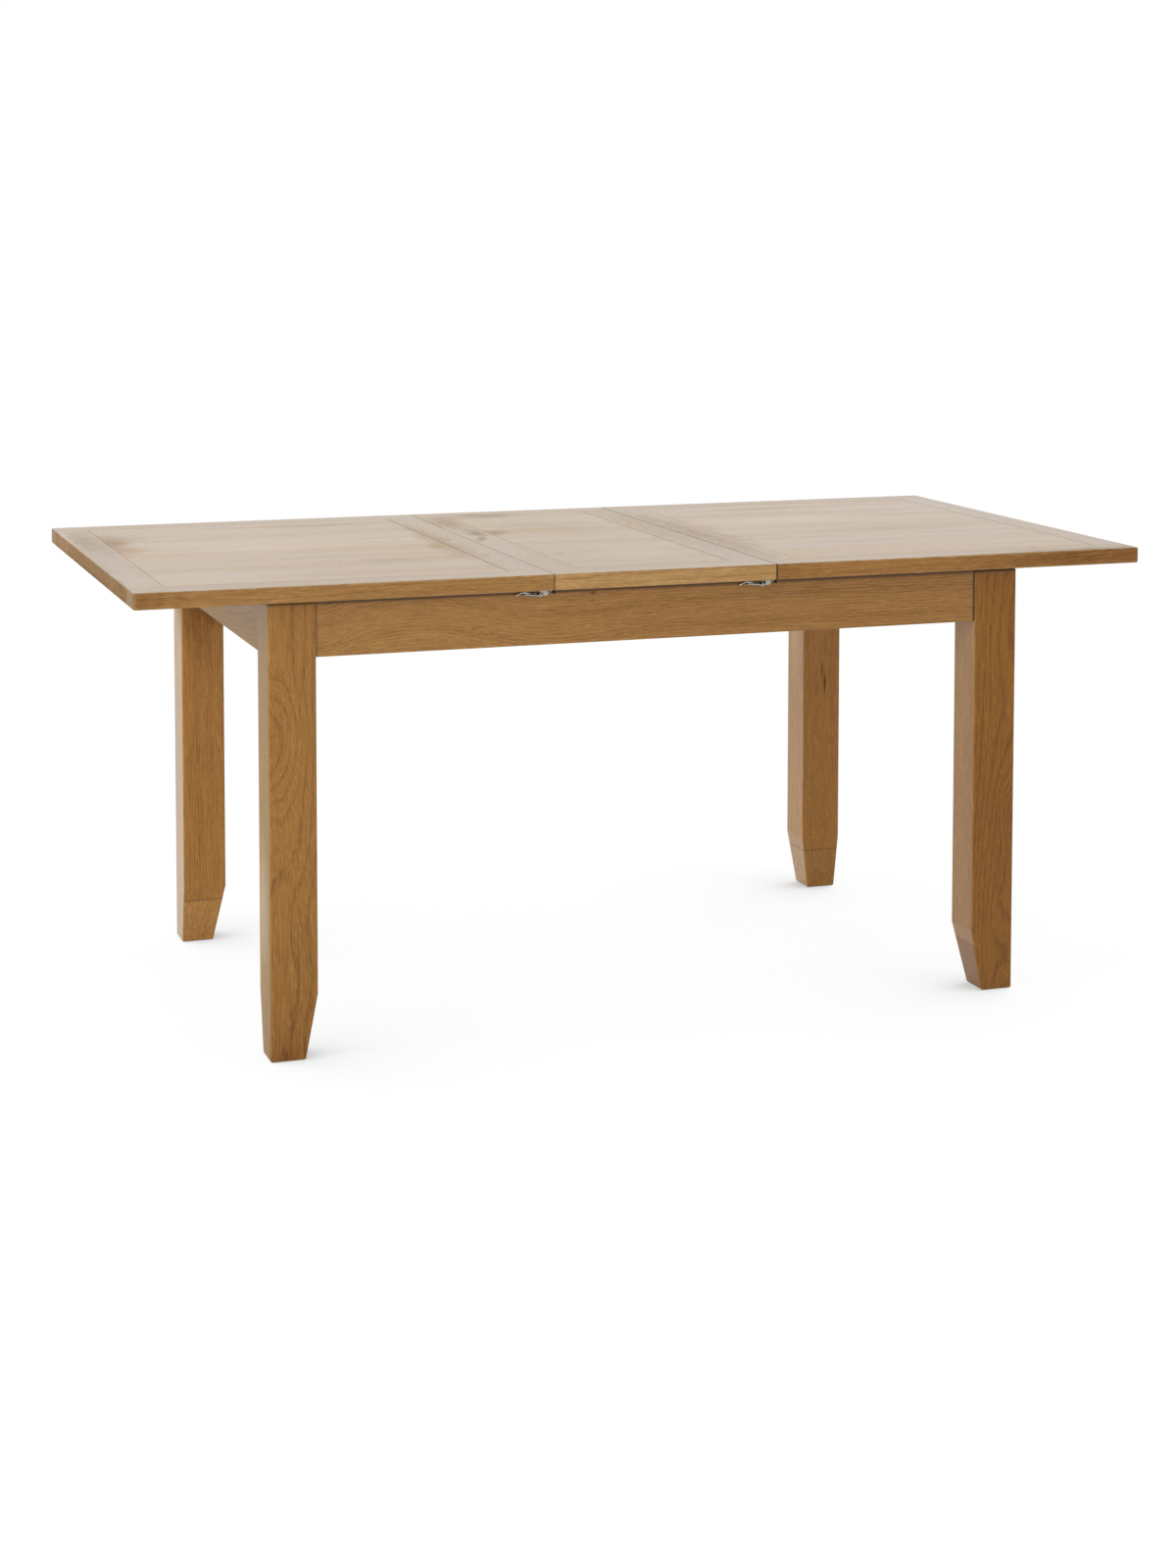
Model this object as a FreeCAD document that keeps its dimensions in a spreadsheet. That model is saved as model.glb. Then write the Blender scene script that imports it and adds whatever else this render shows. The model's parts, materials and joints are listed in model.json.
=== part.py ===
import FreeCAD, Part
import math
import os
import re

import Sketcher

# Extending dining table: a fixed four-leg frame, two half tops that slide apart on runners, and one
# loose leaf between them.  X runs along the table, +Y to the back, Z up, and the origin is on the floor
# at the middle of the frame.  The table is shown extended, with the leaf in place.  Millimetres.

SIZES = {
    # the whole table
    "table_height": 790,
    "top_width": 900,
    "half_length": 700,
    "leaf_length": 400,
    "top_thick": 27,
    "running_gap": 6,
    "end_overhang": 24,
    "side_overhang": 38,
    # legs and feet
    "leg_size": 80,
    "taper_tall": 109,
    "taper_inset": 21,
    "leg_round": 3,
    "leg_end_round": 2,
    "glide_radius": 14,
    "glide_thick": 4,
    "glide_rise": 1,
    # aprons
    "apron_tall": 91,
    "apron_thick": 22,
    "apron_setback": 4,
    "apron_round": 1.5,
    "tenon_long": 25,
    "tenon_thick": 10,
    "tenon_shoulder": 15,
    # corner blocks and their hanger bolts
    "block_thick": 28,
    "block_tall": 40,
    "block_rise": 3,
    "block_gap": 7,
    "bolt_radius": 4,
    "bolt_bite": 30,
    "washer_radius": 11,
    "washer_thick": 2,
    "nut_across": 13,
    "nut_tall": 6.5,
    "bolt_spare": 5,
    # frame and panel tops
    "border_width": 60,
    "tongue_long": 8,
    "tongue_thick": 8,
    "groove_stop": 12,
    "fit_gap": 0.2,
    "joint_gap": 0.25,
    "corner_round": 6,
    "edge_round": 2,
    "joint_bevel": 0.8,
    "panel_bevel": 1.5,
    "butt_bevel": 0.4,
    # bearers, guides and runners
    "bearer_width": 45,
    "bearer_thick": 22,
    "bearer_spread": 250,
    "housing_deep": 6,
    "guide_thick": 16,
    "guide_tall": 45,
    "bearer_gap": 6,
    "guide_end_gap": 16,
    "guide_screw_drop": 30,
    "guide_screw_gap": 7.5,
    "guide_screw_end": 60,
    "inner_guide_reach": 420,
    "runner_wide": 22,
    "runner_tall": 45,
    "runner_long": 700,
    "runner_end": 360,
    "runner_screw_near": 100,
    "runner_screw_end": 40,
    "lane_gap": 2,
    "slide_tongue_tall": 12,
    "slide_tongue_long": 8,
    "slide_gap": 0.4,
    "over_travel": 30,
    "stop_long": 25,
    "stop_tall": 14,
    "stop_gap": 0.5,
    "pad_long": 30,
    "pad_wide": 12,
    "pad_inset": 2,
    "pad_near": 310,
    "pad_far": 540,
    "pad_round": 1,
    # screws
    "wood_screw_radius": 2.5,
    "wood_screw_head": 4.5,
    "wood_screw_head_tall": 2.5,
    "wood_screw_bite": 14,
    "counterbore_deep": 14,
    "small_screw_radius": 1.5,
    "small_screw_head": 3,
    "small_screw_head_tall": 1,
    "small_screw_bite": 10,
    # catches
    "catch_inset": 20,
    "plate_thick": 1.5,
    "plate_wide": 18,
    "plate_reach": 46,
    "plate_screw_near": 30,
    "plate_screw_far": 40,
    "nose_drop": 5,
    "ear_thick": 1.5,
    "ear_radius": 4.5,
    "pivot_reach": 12,
    "pivot_drop": 5,
    "pin_radius": 1.4,
    "pin_head": 2.4,
    "pin_head_tall": 0.6,
    "sleeve_radius": 2.8,
    "pin_gap": 0.3,
    "lever_wide": 14.4,
    "lever_thick": 1.4,
    "lever_bend_reach": 46,
    "lever_crest_reach": 53,
    "lever_crest_drop": 3.4,
    "lever_tip_reach": 62.5,
    "lever_tip_drop": 8,
    "lever_round": 4,
    "tip_bevel": 3.5,
    "loop_pivot_reach": 20.5,
    "loop_pivot_drop": 8.8,
    "loop_sleeve_radius": 2.6,
    "wire_radius": 1.1,
    "loop_half_wide": 11.2,
    "loop_bite": 4,
    "loop_bend": 2.5,
    "strike_reach": 4.6,
    "strike_long": 28,
    "strike_lip_thick": 1.2,
    "strike_lip_drop": 7.5,
    "strike_screw_near": 16,
    "strike_screw_far": 26,
    "bar_drop": 4.2,
    "bar_gap": 0.35,
    "loop_rest_drop": 6.2,
}

# Places that follow from the sizes.
PLACES = {
    "underside": "table_height - top_thick",
    "frame_top": "table_height - top_thick - running_gap",
    "apron_bottom": "table_height - top_thick - running_gap - apron_tall",
    "mid_top": "table_height - top_thick / 2",
    "leg_axis_x": "half_length - end_overhang - leg_size / 2",
    "leg_axis_y": "top_width / 2 - side_overhang - leg_size / 2",
    "leg_inner_x": "half_length - end_overhang - leg_size",
    "leg_inner_y": "top_width / 2 - side_overhang - leg_size",
    "apron_out_x": "half_length - end_overhang - apron_setback",
    "apron_out_y": "top_width / 2 - side_overhang - apron_setback",
    "apron_in_y": "top_width / 2 - side_overhang - apron_setback - apron_thick",
    "apron_near": "leg_size / 2 - apron_setback - apron_thick",
    "apron_far": "leg_size / 2 - apron_setback",
    "joint_x": "leaf_length / 2",
    "stile_in_y": "top_width / 2 - border_width",
    # the bearers lie under the guides, and clear of the runners
    "bearer_top": "min(frame_top - guide_tall; underside - runner_tall - bearer_gap)",
    # the corner blocks stand just above the aprons' lower edges, and clear of what the bearers carry
    "block_bottom": "min(apron_bottom + block_rise; bearer_top - block_rise - block_tall)",
    "block_middle": "block_bottom + block_tall / 2",
    "outer_lane": "top_width / 2 - side_overhang - apron_setback - apron_thick - guide_thick - lane_gap",
    "inner_lane": "outer_lane - runner_wide - lane_gap",
    "inner_guide_face": "inner_lane - runner_wide - lane_gap",
    "guide_end": "leg_inner_x - guide_end_gap",
    "slide_height": "table_height - top_thick - runner_tall / 2",
    "tongue_bottom": "slide_height - slide_tongue_tall / 2",
    "guide_screw_height": "min(frame_top - guide_screw_drop; tongue_bottom - guide_screw_gap)",
    "catch_y": "top_width / 2 - catch_inset",
}

doc = FreeCAD.newDocument("extending_table")
WORD = re.compile(r"[a-z_]+")


def fill(name, entries):
    """A sheet of named cells."""
    sheet = doc.addObject("Spreadsheet::Sheet", name)
    for row, (alias, content) in enumerate(entries.items(), 1):
        sheet.set(f"A{row}", str(content))
        sheet.setAlias(f"A{row}", alias)
    doc.recompute()
    return sheet


def full(expression):
    """The expression with the sheet's name before each size and place."""
    def owner(match):
        word = match.group(0)
        if word in SIZES:
            return f"Sizes.{word}"
        if word in PLACES:
            return f"Places.{word}"
        return word
    return WORD.sub(owner, str(expression))


sizes = fill("Sizes", SIZES)
places = fill("Places", {alias: "=" + full(rule) for alias, rule in PLACES.items()})


def size(name):
    """The number that a size or place has now."""
    sheet = sizes if name in SIZES else places
    return float(getattr(sheet, name))


def bind(item, path, expression):
    item.setExpression(path, full(expression))


def span(side, near, far):
    """The stretch from near to far on one side of the middle, lowest first."""
    if side > 0:
        return near, far
    return f"-({far})", f"-({near})"


def about(middle, width):
    return f"({middle}) - ({width}) / 2", f"({middle}) + ({width}) / 2"


OUTWARD = {1: "y", -1: "-y"}  # the axis that points away from the middle, on each long side

# ---------------------------------------------------------------- features of a body

pieces = []


def body(label, kept=True):
    piece = doc.addObject("PartDesign::Body", label)
    piece.Label = label
    if kept:
        pieces.append(piece)
    return piece


def block(piece, name, x, y, z, cut=False):
    """A box between two expressions along each axis, added or cut away."""
    kind = "PartDesign::SubtractiveBox" if cut else "PartDesign::AdditiveBox"
    box = piece.newObject(kind, name)
    for length, axis, (low, high) in zip(("Length", "Width", "Height"), "xyz", (x, y, z)):
        bind(box, length, f"({high}) - ({low})")
        bind(box, f"Placement.Base.{axis}", low)
    return box


AXES = {
    "x": FreeCAD.Rotation(FreeCAD.Vector(0, 1, 0), 90),
    "y": FreeCAD.Rotation(FreeCAD.Vector(1, 0, 0), -90),
    "-y": FreeCAD.Rotation(FreeCAD.Vector(1, 0, 0), 90),
    "z": FreeCAD.Rotation(),
    "corner": FreeCAD.Rotation(FreeCAD.Vector(1, -1, 0), -90),
}


def rod(piece, name, start, radius, length, axis="z", cut=False):
    """A round bar from a starting point along an axis, added or cut away."""
    kind = "PartDesign::SubtractiveCylinder" if cut else "PartDesign::AdditiveCylinder"
    bar = piece.newObject(kind, name)
    bar.Placement = FreeCAD.Placement(FreeCAD.Vector(), AXES[axis])
    for direction, place in zip("xyz", start):
        bind(bar, f"Placement.Base.{direction}", place)
    bind(bar, "Radius", radius)
    bind(bar, "Height", length)
    return bar


def outline(piece, name, role, points):
    """A closed sketch through points whose coordinates are expressions."""
    sketch = piece.newObject("Sketcher::SketchObject", name)
    plane = next(item for item in piece.Origin.OriginFeatures if item.Role == role)
    sketch.AttachmentSupport = [(plane, "")]
    sketch.MapMode = "FlatFace"
    rough = [FreeCAD.Vector(math.cos(turn), math.sin(turn), 0)
             for turn in (2 * math.pi * i / len(points) for i in range(len(points)))]
    for i, start in enumerate(rough):
        sketch.addGeometry(Part.LineSegment(start, rough[(i + 1) % len(rough)]), False)
    for i in range(len(points)):
        sketch.addConstraint(Sketcher.Constraint("Coincident", i, 2, (i + 1) % len(points), 1))
    for i, point in enumerate(points):
        for kind, letter, place in zip(("DistanceX", "DistanceY"), "xy", point):
            index = sketch.addConstraint(Sketcher.Constraint(kind, -1, 1, i, 1, 1.0))
            sketch.renameConstraint(index, f"{letter}{i}")
            bind(sketch, f"Constraints.{letter}{i}", place)
    return sketch


def extrude(piece, name, sketch, length, cut=False):
    """A sketch pushed out, or cut away, by half the length to each side of its plane."""
    feature = piece.newObject("PartDesign::Pocket" if cut else "PartDesign::Pad", name)
    feature.Profile = sketch
    feature.Midplane = True
    bind(feature, "Length", length)
    return feature


def soften(piece, name, pick, amount, kind="Fillet"):
    """Round or bevel the edges that pick chooses."""
    doc.recompute()
    tip = piece.Tip
    chosen = [f"Edge{i}" for i, edge in enumerate(tip.Shape.Edges, 1) if pick(edge.BoundBox)]
    if not chosen:
        raise ValueError(f"{piece.Label}: no edge to {kind.lower()} for {name}")
    feature = piece.newObject(f"PartDesign::{kind}", name)
    feature.Base = (tip, chosen)
    bind(feature, "Radius" if kind == "Fillet" else "Size", amount)
    return feature


def near(a, b):
    return abs(a - b) < 0.01


def flat_at(bounds, axis, place):
    """True for an edge that lies at one place along an axis."""
    low, high = getattr(bounds, axis + "Min"), getattr(bounds, axis + "Max")
    return near(low, place) and near(high, place)


def put(piece, x="0", y="0", z="0", turn=0):
    """Stand a piece at a place, turned about the vertical."""
    piece.Placement = FreeCAD.Placement(FreeCAD.Vector(), FreeCAD.Rotation(FreeCAD.Vector(0, 0, 1), turn))
    for axis, place in zip("xyz", (x, y, z)):
        bind(piece, f"Placement.Base.{axis}", place)


def group(label, members):
    """Several separate solids in one sub-part: pairs of a shape and its placement."""
    doc.recompute()
    solids = []
    for shape, placement in members:
        copy = shape.copy()
        copy.Placement = placement.multiply(copy.Placement)
        solids.append(copy)
    piece = doc.addObject("Part::Feature", label)
    piece.Label = label
    piece.Shape = Part.makeCompound(solids)
    piece.Placement = FreeCAD.Placement()
    pieces.append(piece)
    return piece


def stand(x, y, z, turn=0, axis=(0, 0, 1)):
    return FreeCAD.Placement(FreeCAD.Vector(x, y, z), FreeCAD.Rotation(FreeCAD.Vector(*axis), turn))


# ---------------------------------------------------------------- legs, aprons and corner blocks

CORNERS = {  # corner: (side along X, side along Y, turn of a leg whose outer faces point to +X and +Y)
    "back_right": (1, 1, 0),
    "back_left": (-1, 1, 90),
    "front_left": (-1, -1, 180),
    "front_right": (1, -1, 270),
}


def make_leg(corner):
    """A square leg about its own axis; its two inner faces are cut back towards the foot."""
    side_x, side_y, turn = CORNERS[corner]
    leg = body(f"leg_{corner}")
    half = "leg_size / 2"
    side = outline(leg, "side", "XZ_Plane", [
        (f"-{half} + taper_inset", "glide_rise"), (half, "glide_rise"), (half, "frame_top"),
        (f"-{half}", "frame_top"), (f"-{half}", "taper_tall")])
    extrude(leg, "square", side, "leg_size")
    wedge = outline(leg, "wedge", "YZ_Plane", [
        (f"-{half} + taper_inset", "glide_rise"), (f"-{half}", "taper_tall"),
        (f"-{half} - 1", "taper_tall"), (f"-{half} - 1", "glide_rise")])
    extrude(leg, "taper", wedge, "2 * leg_size", cut=True)
    soften(leg, "long_edges", lambda b: b.ZLength > size("leg_size"), "leg_round")
    top = size("frame_top")
    soften(leg, "top_edges", lambda b: flat_at(b, "Z", top), "leg_end_round")
    soften(leg, "foot_edges", lambda b: flat_at(b, "Z", size("glide_rise")), "leg_end_round", "Chamfer")
    wall = about("(apron_near + apron_far) / 2", "tenon_thick + fit_gap")
    deep = (f"-{half} - 1", f"-{half} + tenon_long + fit_gap")
    tall = ("apron_bottom + tenon_shoulder - fit_gap / 2", "frame_top - tenon_shoulder + fit_gap / 2")
    block(leg, "mortise_long", deep, wall, tall, cut=True)
    block(leg, "mortise_end", wall, deep, tall, cut=True)
    middle = "taper_inset / 2"
    rod(leg, "glide_seat", (middle, middle, "0"), "glide_radius + fit_gap / 2", "glide_thick", cut=True)
    start = "(fit_gap - bolt_bite) / sqrt(2) - leg_size / 2"
    rod(leg, "bolt_hole", (start, start, "block_middle"),
        "bolt_radius + fit_gap / 2", "2 * bolt_bite", axis="corner", cut=True)
    put(leg, f"{side_x} * leg_axis_x", f"{side_y} * leg_axis_y", "0", turn)


def make_long_apron(name, side):
    apron = body(f"apron_{name}")
    y = span(side, "apron_in_y", "apron_out_y")
    block(apron, "board", ("-leg_inner_x", "leg_inner_x"), y, ("apron_bottom", "frame_top"))
    soften(apron, "edges", lambda b: b.XLength > size("leg_inner_x") and near(b.ZMin, size("apron_bottom")),
           "apron_round")
    tenon_y = span(side, *about("apron_out_y - apron_thick / 2", "tenon_thick"))
    block(apron, "tenons", ("-leg_inner_x - tenon_long", "leg_inner_x + tenon_long"), tenon_y,
          ("apron_bottom + tenon_shoulder", "frame_top - tenon_shoulder"))
    for end in (-1, 1):
        x = about(f"{end} * bearer_spread", "bearer_width + fit_gap")
        y = span(side, "apron_in_y - 1", "apron_in_y + housing_deep + fit_gap / 2")
        z = about("bearer_top - bearer_thick / 2", "bearer_thick + fit_gap")
        block(apron, "housing", x, y, z, cut=True)
    for x in outer_guide_screws():
        rod(apron, "pilot", (x, f"{side} * (apron_in_y - 1)", "guide_screw_height"),
            "wood_screw_radius + fit_gap / 2", "wood_screw_bite + 1", OUTWARD[side], cut=True)


def make_end_apron(name, side):
    apron = body(f"apron_{name}")
    x = span(side, "apron_out_x - apron_thick", "apron_out_x")
    block(apron, "board", x, ("-leg_inner_y", "leg_inner_y"), ("apron_bottom", "frame_top"))
    soften(apron, "edges", lambda b: b.YLength > size("leg_inner_y") and near(b.ZMin, size("apron_bottom")),
           "apron_round")
    tenon_x = span(side, *about("apron_out_x - apron_thick / 2", "tenon_thick"))
    block(apron, "tenons", tenon_x, ("-leg_inner_y - tenon_long", "leg_inner_y + tenon_long"),
          ("apron_bottom + tenon_shoulder", "frame_top - tenon_shoulder"))


def outer_guide_screws():
    """Where the screws stand along an outer guide."""
    return ["-(guide_end - guide_screw_end)", "0", "guide_end - guide_screw_end"]


# ---------------------------------------------------------------- corner blocks and hanger bolts

def make_corner_block():
    """A block across a corner, in the leg's own frame, with its bolt hole along the diagonal."""
    block_body = body("corner_block", kept=False)
    outer = "leg_size + block_gap * sqrt(2)"
    inner = "leg_size + (block_gap + block_thick) * sqrt(2)"
    plan = outline(block_body, "plan", "XY_Plane", [
        (f"-({outer}) - apron_near", "apron_near"), (f"-({inner}) - apron_near", "apron_near"),
        ("apron_near", f"-({inner}) - apron_near"), ("apron_near", f"-({outer}) - apron_near")])
    extrude(block_body, "prism", plan, "block_tall")
    start = f"-({inner}) / 2 - block_thick"
    rod(block_body, "bolt_hole", (start, start, "0"), "bolt_radius + fit_gap / 2", "3 * block_thick",
        axis="corner", cut=True)
    return block_body


def at_corners(height, along=0.0, master_turn=None):
    """A placement in each corner, at a distance from the leg's axis along the inward diagonal."""
    found = []
    for side_x, side_y, turn in CORNERS.values():
        corner = stand(side_x * size("leg_axis_x"), side_y * size("leg_axis_y"), height, turn)
        step = -along / math.sqrt(2)
        local = stand(step, step, 0)
        if master_turn is not None:
            local = local.multiply(FreeCAD.Placement(FreeCAD.Vector(), master_turn))
        found.append(corner.multiply(local))
    return found


def make_corner_hardware():
    """Blocks, hanger bolts, washers and nuts, four of each."""
    middle = size("block_middle")
    corner_block = make_corner_block()
    doc.recompute()
    group("corner_blocks", [(corner_block.Shape, place) for place in at_corners(middle)])
    inward = FreeCAD.Rotation(FreeCAD.Vector(0, 0, 1), FreeCAD.Vector(-1, -1, 0))
    leg_edge = size("leg_size") / math.sqrt(2)
    seat = leg_edge + size("block_gap") + size("block_thick")
    radius = size("bolt_radius")
    long = size("bolt_bite") + seat - leg_edge + size("washer_thick") + size("nut_tall") + size("bolt_spare")
    bolt = Part.makeCylinder(radius, long)
    bolt = bolt.makeChamfer(radius / 4, [edge for edge in bolt.Edges if near(edge.BoundBox.ZLength, 0)])
    start = leg_edge - size("bolt_bite")
    group("hanger_bolts", [(bolt, place) for place in at_corners(middle, start, inward)])
    bore = radius + size("fit_gap") / 2
    washer = Part.makeCylinder(size("washer_radius"), size("washer_thick")).cut(
        Part.makeCylinder(bore, size("washer_thick")))
    group("hanger_washers", [(washer, place) for place in at_corners(middle, seat, inward)])
    corners = size("nut_across") / math.sqrt(3)
    rim = [FreeCAD.Vector(corners * math.cos(math.pi * i / 3), corners * math.sin(math.pi * i / 3), 0)
           for i in range(7)]
    nut = Part.Face(Part.makePolygon(rim)).extrude(FreeCAD.Vector(0, 0, size("nut_tall")))
    nut = nut.cut(Part.makeCylinder(bore, size("nut_tall")))
    on_washer = seat + size("washer_thick")
    group("hanger_nuts", [(nut, place) for place in at_corners(middle, on_washer, inward)])


# ---------------------------------------------------------------- bearers, guides, pads and feet

def make_bearer(name, side):
    """A flat rail across the frame, let into both long aprons."""
    bearer = body(f"bearer_{name}")
    reach = "apron_in_y + housing_deep"
    block(bearer, "board", about(f"{side} * bearer_spread", "bearer_width"), (f"-({reach})", reach),
          ("bearer_top - bearer_thick", "bearer_top"))
    for row in (-1, 1):
        place = (f"{side} * bearer_spread", f"{row} * (inner_guide_face - guide_thick / 2)")
        rod(bearer, "screw_hole", (*place, "bearer_top - bearer_thick - 1"),
            "wood_screw_radius + fit_gap / 2", "bearer_thick + 2", cut=True)
        rod(bearer, "counterbore", (*place, "bearer_top - bearer_thick - 1"),
            "wood_screw_head + fit_gap / 2", "wood_screw_head_tall + 1", cut=True)


def make_outer_guide(name, side):
    """A rail on a long apron whose tongue runs in the groove of the outer runner."""
    guide = body(f"outer_guide_{name}")
    x = ("-guide_end", "guide_end")
    block(guide, "rail", x, span(side, "apron_in_y - guide_thick", "apron_in_y"),
          ("frame_top - guide_tall", "frame_top"))
    y = span(side, "apron_in_y - guide_thick - slide_tongue_long", "apron_in_y - guide_thick")
    block(guide, "tongue", x, y, about("slide_height", "slide_tongue_tall"))
    for place in outer_guide_screws():
        start = (place, f"{side} * (apron_in_y - guide_thick - 1)", "guide_screw_height")
        rod(guide, "screw_hole", start, "wood_screw_radius + fit_gap / 2", "guide_thick + 2",
            OUTWARD[side], cut=True)
        rod(guide, "counterbore", start, "wood_screw_head + fit_gap / 2", "wood_screw_head_tall + 1",
            OUTWARD[side], cut=True)


def make_inner_guide(name, side):
    """A rail on the bearers whose tongue runs in the groove of the inner runner."""
    guide = body(f"inner_guide_{name}")
    x = ("-inner_guide_reach", "inner_guide_reach")
    block(guide, "rail", x, span(side, "inner_guide_face - guide_thick", "inner_guide_face"),
          ("bearer_top", "frame_top"))
    block(guide, "tongue", x, span(side, "inner_guide_face", "inner_guide_face + slide_tongue_long"),
          about("slide_height", "slide_tongue_tall"))
    y = f"{side} * (inner_guide_face - guide_thick / 2)"
    for end in (-1, 1):
        rod(guide, "pilot", (f"{end} * bearer_spread", y, "bearer_top - 1"),
            "wood_screw_radius + fit_gap / 2", "wood_screw_bite + 1", cut=True)


def screw(head_radius, head_tall, radius, long):
    """A screw that points up, with its head at the bottom and a slot across it."""
    point = 2 * radius
    head = Part.makeCylinder(head_radius, head_tall)
    slot = Part.makeBox(2 * head_radius, head_radius / 4, head_tall / 2,
                        FreeCAD.Vector(-head_radius, -head_radius / 8, 0))
    shank = Part.makeCylinder(radius, long - head_tall - point, FreeCAD.Vector(0, 0, head_tall))
    tip = Part.makeCone(radius, radius / 4, point, FreeCAD.Vector(0, 0, long - point))
    return head.cut(slot).fuse([shank, tip]).removeSplitter()


def wood_screw(through):
    """A wood screw that passes through a thickness and bites into what is behind."""
    return screw(size("wood_screw_head"), size("wood_screw_head_tall"), size("wood_screw_radius"),
                 through + size("wood_screw_bite") - size("fit_gap"))


def make_frame_screws():
    """Screws of the outer guides, from inside the frame, and of the inner guides, from below."""
    members = []
    long = wood_screw(size("guide_thick"))
    reach = size("guide_end") - size("guide_screw_end")
    for side, turn in ((1, -90), (-1, 90)):
        y = side * (size("apron_in_y") - size("guide_thick"))
        for x in (-reach, 0, reach):
            members.append((long, stand(x, y, size("guide_screw_height"), turn, (1, 0, 0))))
    long = wood_screw(size("bearer_thick"))
    below = size("bearer_top") - size("bearer_thick")
    for side_x in (-1, 1):
        for side_y in (-1, 1):
            y = side_y * (size("inner_guide_face") - size("guide_thick") / 2)
            members.append((long, stand(side_x * size("bearer_spread"), y, below)))
    group("frame_screws", members)


def make_pads():
    """Pads on the long aprons that the half tops slide on."""
    long, wide, tall = size("pad_long"), size("pad_wide"), size("running_gap")
    pad = Part.makeBox(long, wide, tall, FreeCAD.Vector(-long / 2, -wide / 2, 0))
    pad = pad.makeFillet(size("pad_round"), [edge for edge in pad.Edges if near(edge.BoundBox.ZLength, tall)])
    y = size("apron_in_y") + size("pad_inset") + wide / 2
    group("glide_pads", [(pad, stand(side_x * size(x), side_y * y, size("frame_top")))
                         for x in ("pad_near", "pad_far") for side_x in (-1, 1) for side_y in (-1, 1)])


def make_foot_glides():
    radius, thick = size("glide_radius"), size("glide_thick")
    glide = Part.makeCylinder(radius, thick)
    foot = [edge for edge in glide.Edges if flat_at(edge.BoundBox, "Z", 0)]
    glide = glide.makeChamfer(size("glide_rise") / 2, foot)
    middle = size("taper_inset") / 2
    members = []
    for side_x, side_y, _ in CORNERS.values():
        x = side_x * (size("leg_axis_x") + middle)
        y = side_y * (size("leg_axis_y") + middle)
        members.append((glide, stand(x, y, 0)))
    group("foot_glides", members)


# ---------------------------------------------------------------- the three top boards

SECTIONS = {  # name: (lowest X, highest X, side of the outer end, 0 where both ends are joints)
    "left": ("-(joint_x + half_length)", "-joint_x", -1),
    "leaf": ("-(joint_x - joint_gap)", "joint_x - joint_gap", 0),
    "right": ("joint_x", "joint_x + half_length", 1),
}
PLATE_SCREWS = ("-plate_screw_near", "-plate_screw_far")
STRIKE_SCREWS = ("strike_screw_near", "strike_screw_far")
CATCH_SCREWS = {  # section: (joint's side of the table, screws of what is fixed there)
    "left": [(-1, PLATE_SCREWS)],
    "leaf": [(-1, STRIKE_SCREWS), (1, PLATE_SCREWS)],
    "right": [(1, STRIKE_SCREWS)],
}


def numbers(name):
    """The lowest and highest X of a board, as numbers."""
    joint, gap, half = size("joint_x"), size("joint_gap"), size("half_length")
    if name == "leaf":
        return gap - joint, joint - gap
    return (-joint - half, -joint) if name == "left" else (joint, joint + half)


def make_stile(section, name, side):
    """The long member along the front or back edge; its end grain shows at the ends."""
    low, high, outer = SECTIONS[section]
    low_x, high_x = numbers(section)
    stile = body(f"{section}_stile_{name}")
    y = span(side, "stile_in_y", "top_width / 2")
    block(stile, "board", (low, high), y, ("underside", "table_height"))
    edge_y = side * size("top_width") / 2
    outer_x = low_x if outer < 0 else high_x
    top, bottom = size("table_height"), size("underside")

    def on_level(b):
        return flat_at(b, "Z", top) or flat_at(b, "Z", bottom)

    def outside(b):
        reach = size("corner_round") + 0.01
        by_side = abs(b.YMin - edge_y) < reach and abs(b.YMax - edge_y) < reach
        by_end = outer and abs(b.XMin - outer_x) < reach and abs(b.XMax - outer_x) < reach
        return on_level(b) and (by_side or by_end)

    if outer:
        soften(stile, "corner", lambda b: flat_at(b, "X", outer_x) and flat_at(b, "Y", edge_y),
               "corner_round")
    soften(stile, "rim", outside, "edge_round")
    for end_x, end in ((low_x, -1), (high_x, 1)):
        if end != outer:
            soften(stile, "joint_edge", lambda b, x=end_x: flat_at(b, "X", x) and flat_at(b, "Z", top),
                   "joint_bevel", "Chamfer")
    slot = about("mid_top", "tongue_thick + fit_gap")
    block(stile, "groove", (f"({low}) + groove_stop", f"({high}) - groove_stop"),
          span(side, "stile_in_y - 1", "stile_in_y + tongue_long + fit_gap"), slot, cut=True)
    for joint, places in CATCH_SCREWS[section]:
        for place in places:
            rod(stile, "pilot", (f"{joint} * joint_x + {place}", f"{side} * catch_y", "underside - 1"),
                "small_screw_radius + fit_gap / 2", "small_screw_bite + 1", cut=True)


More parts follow.
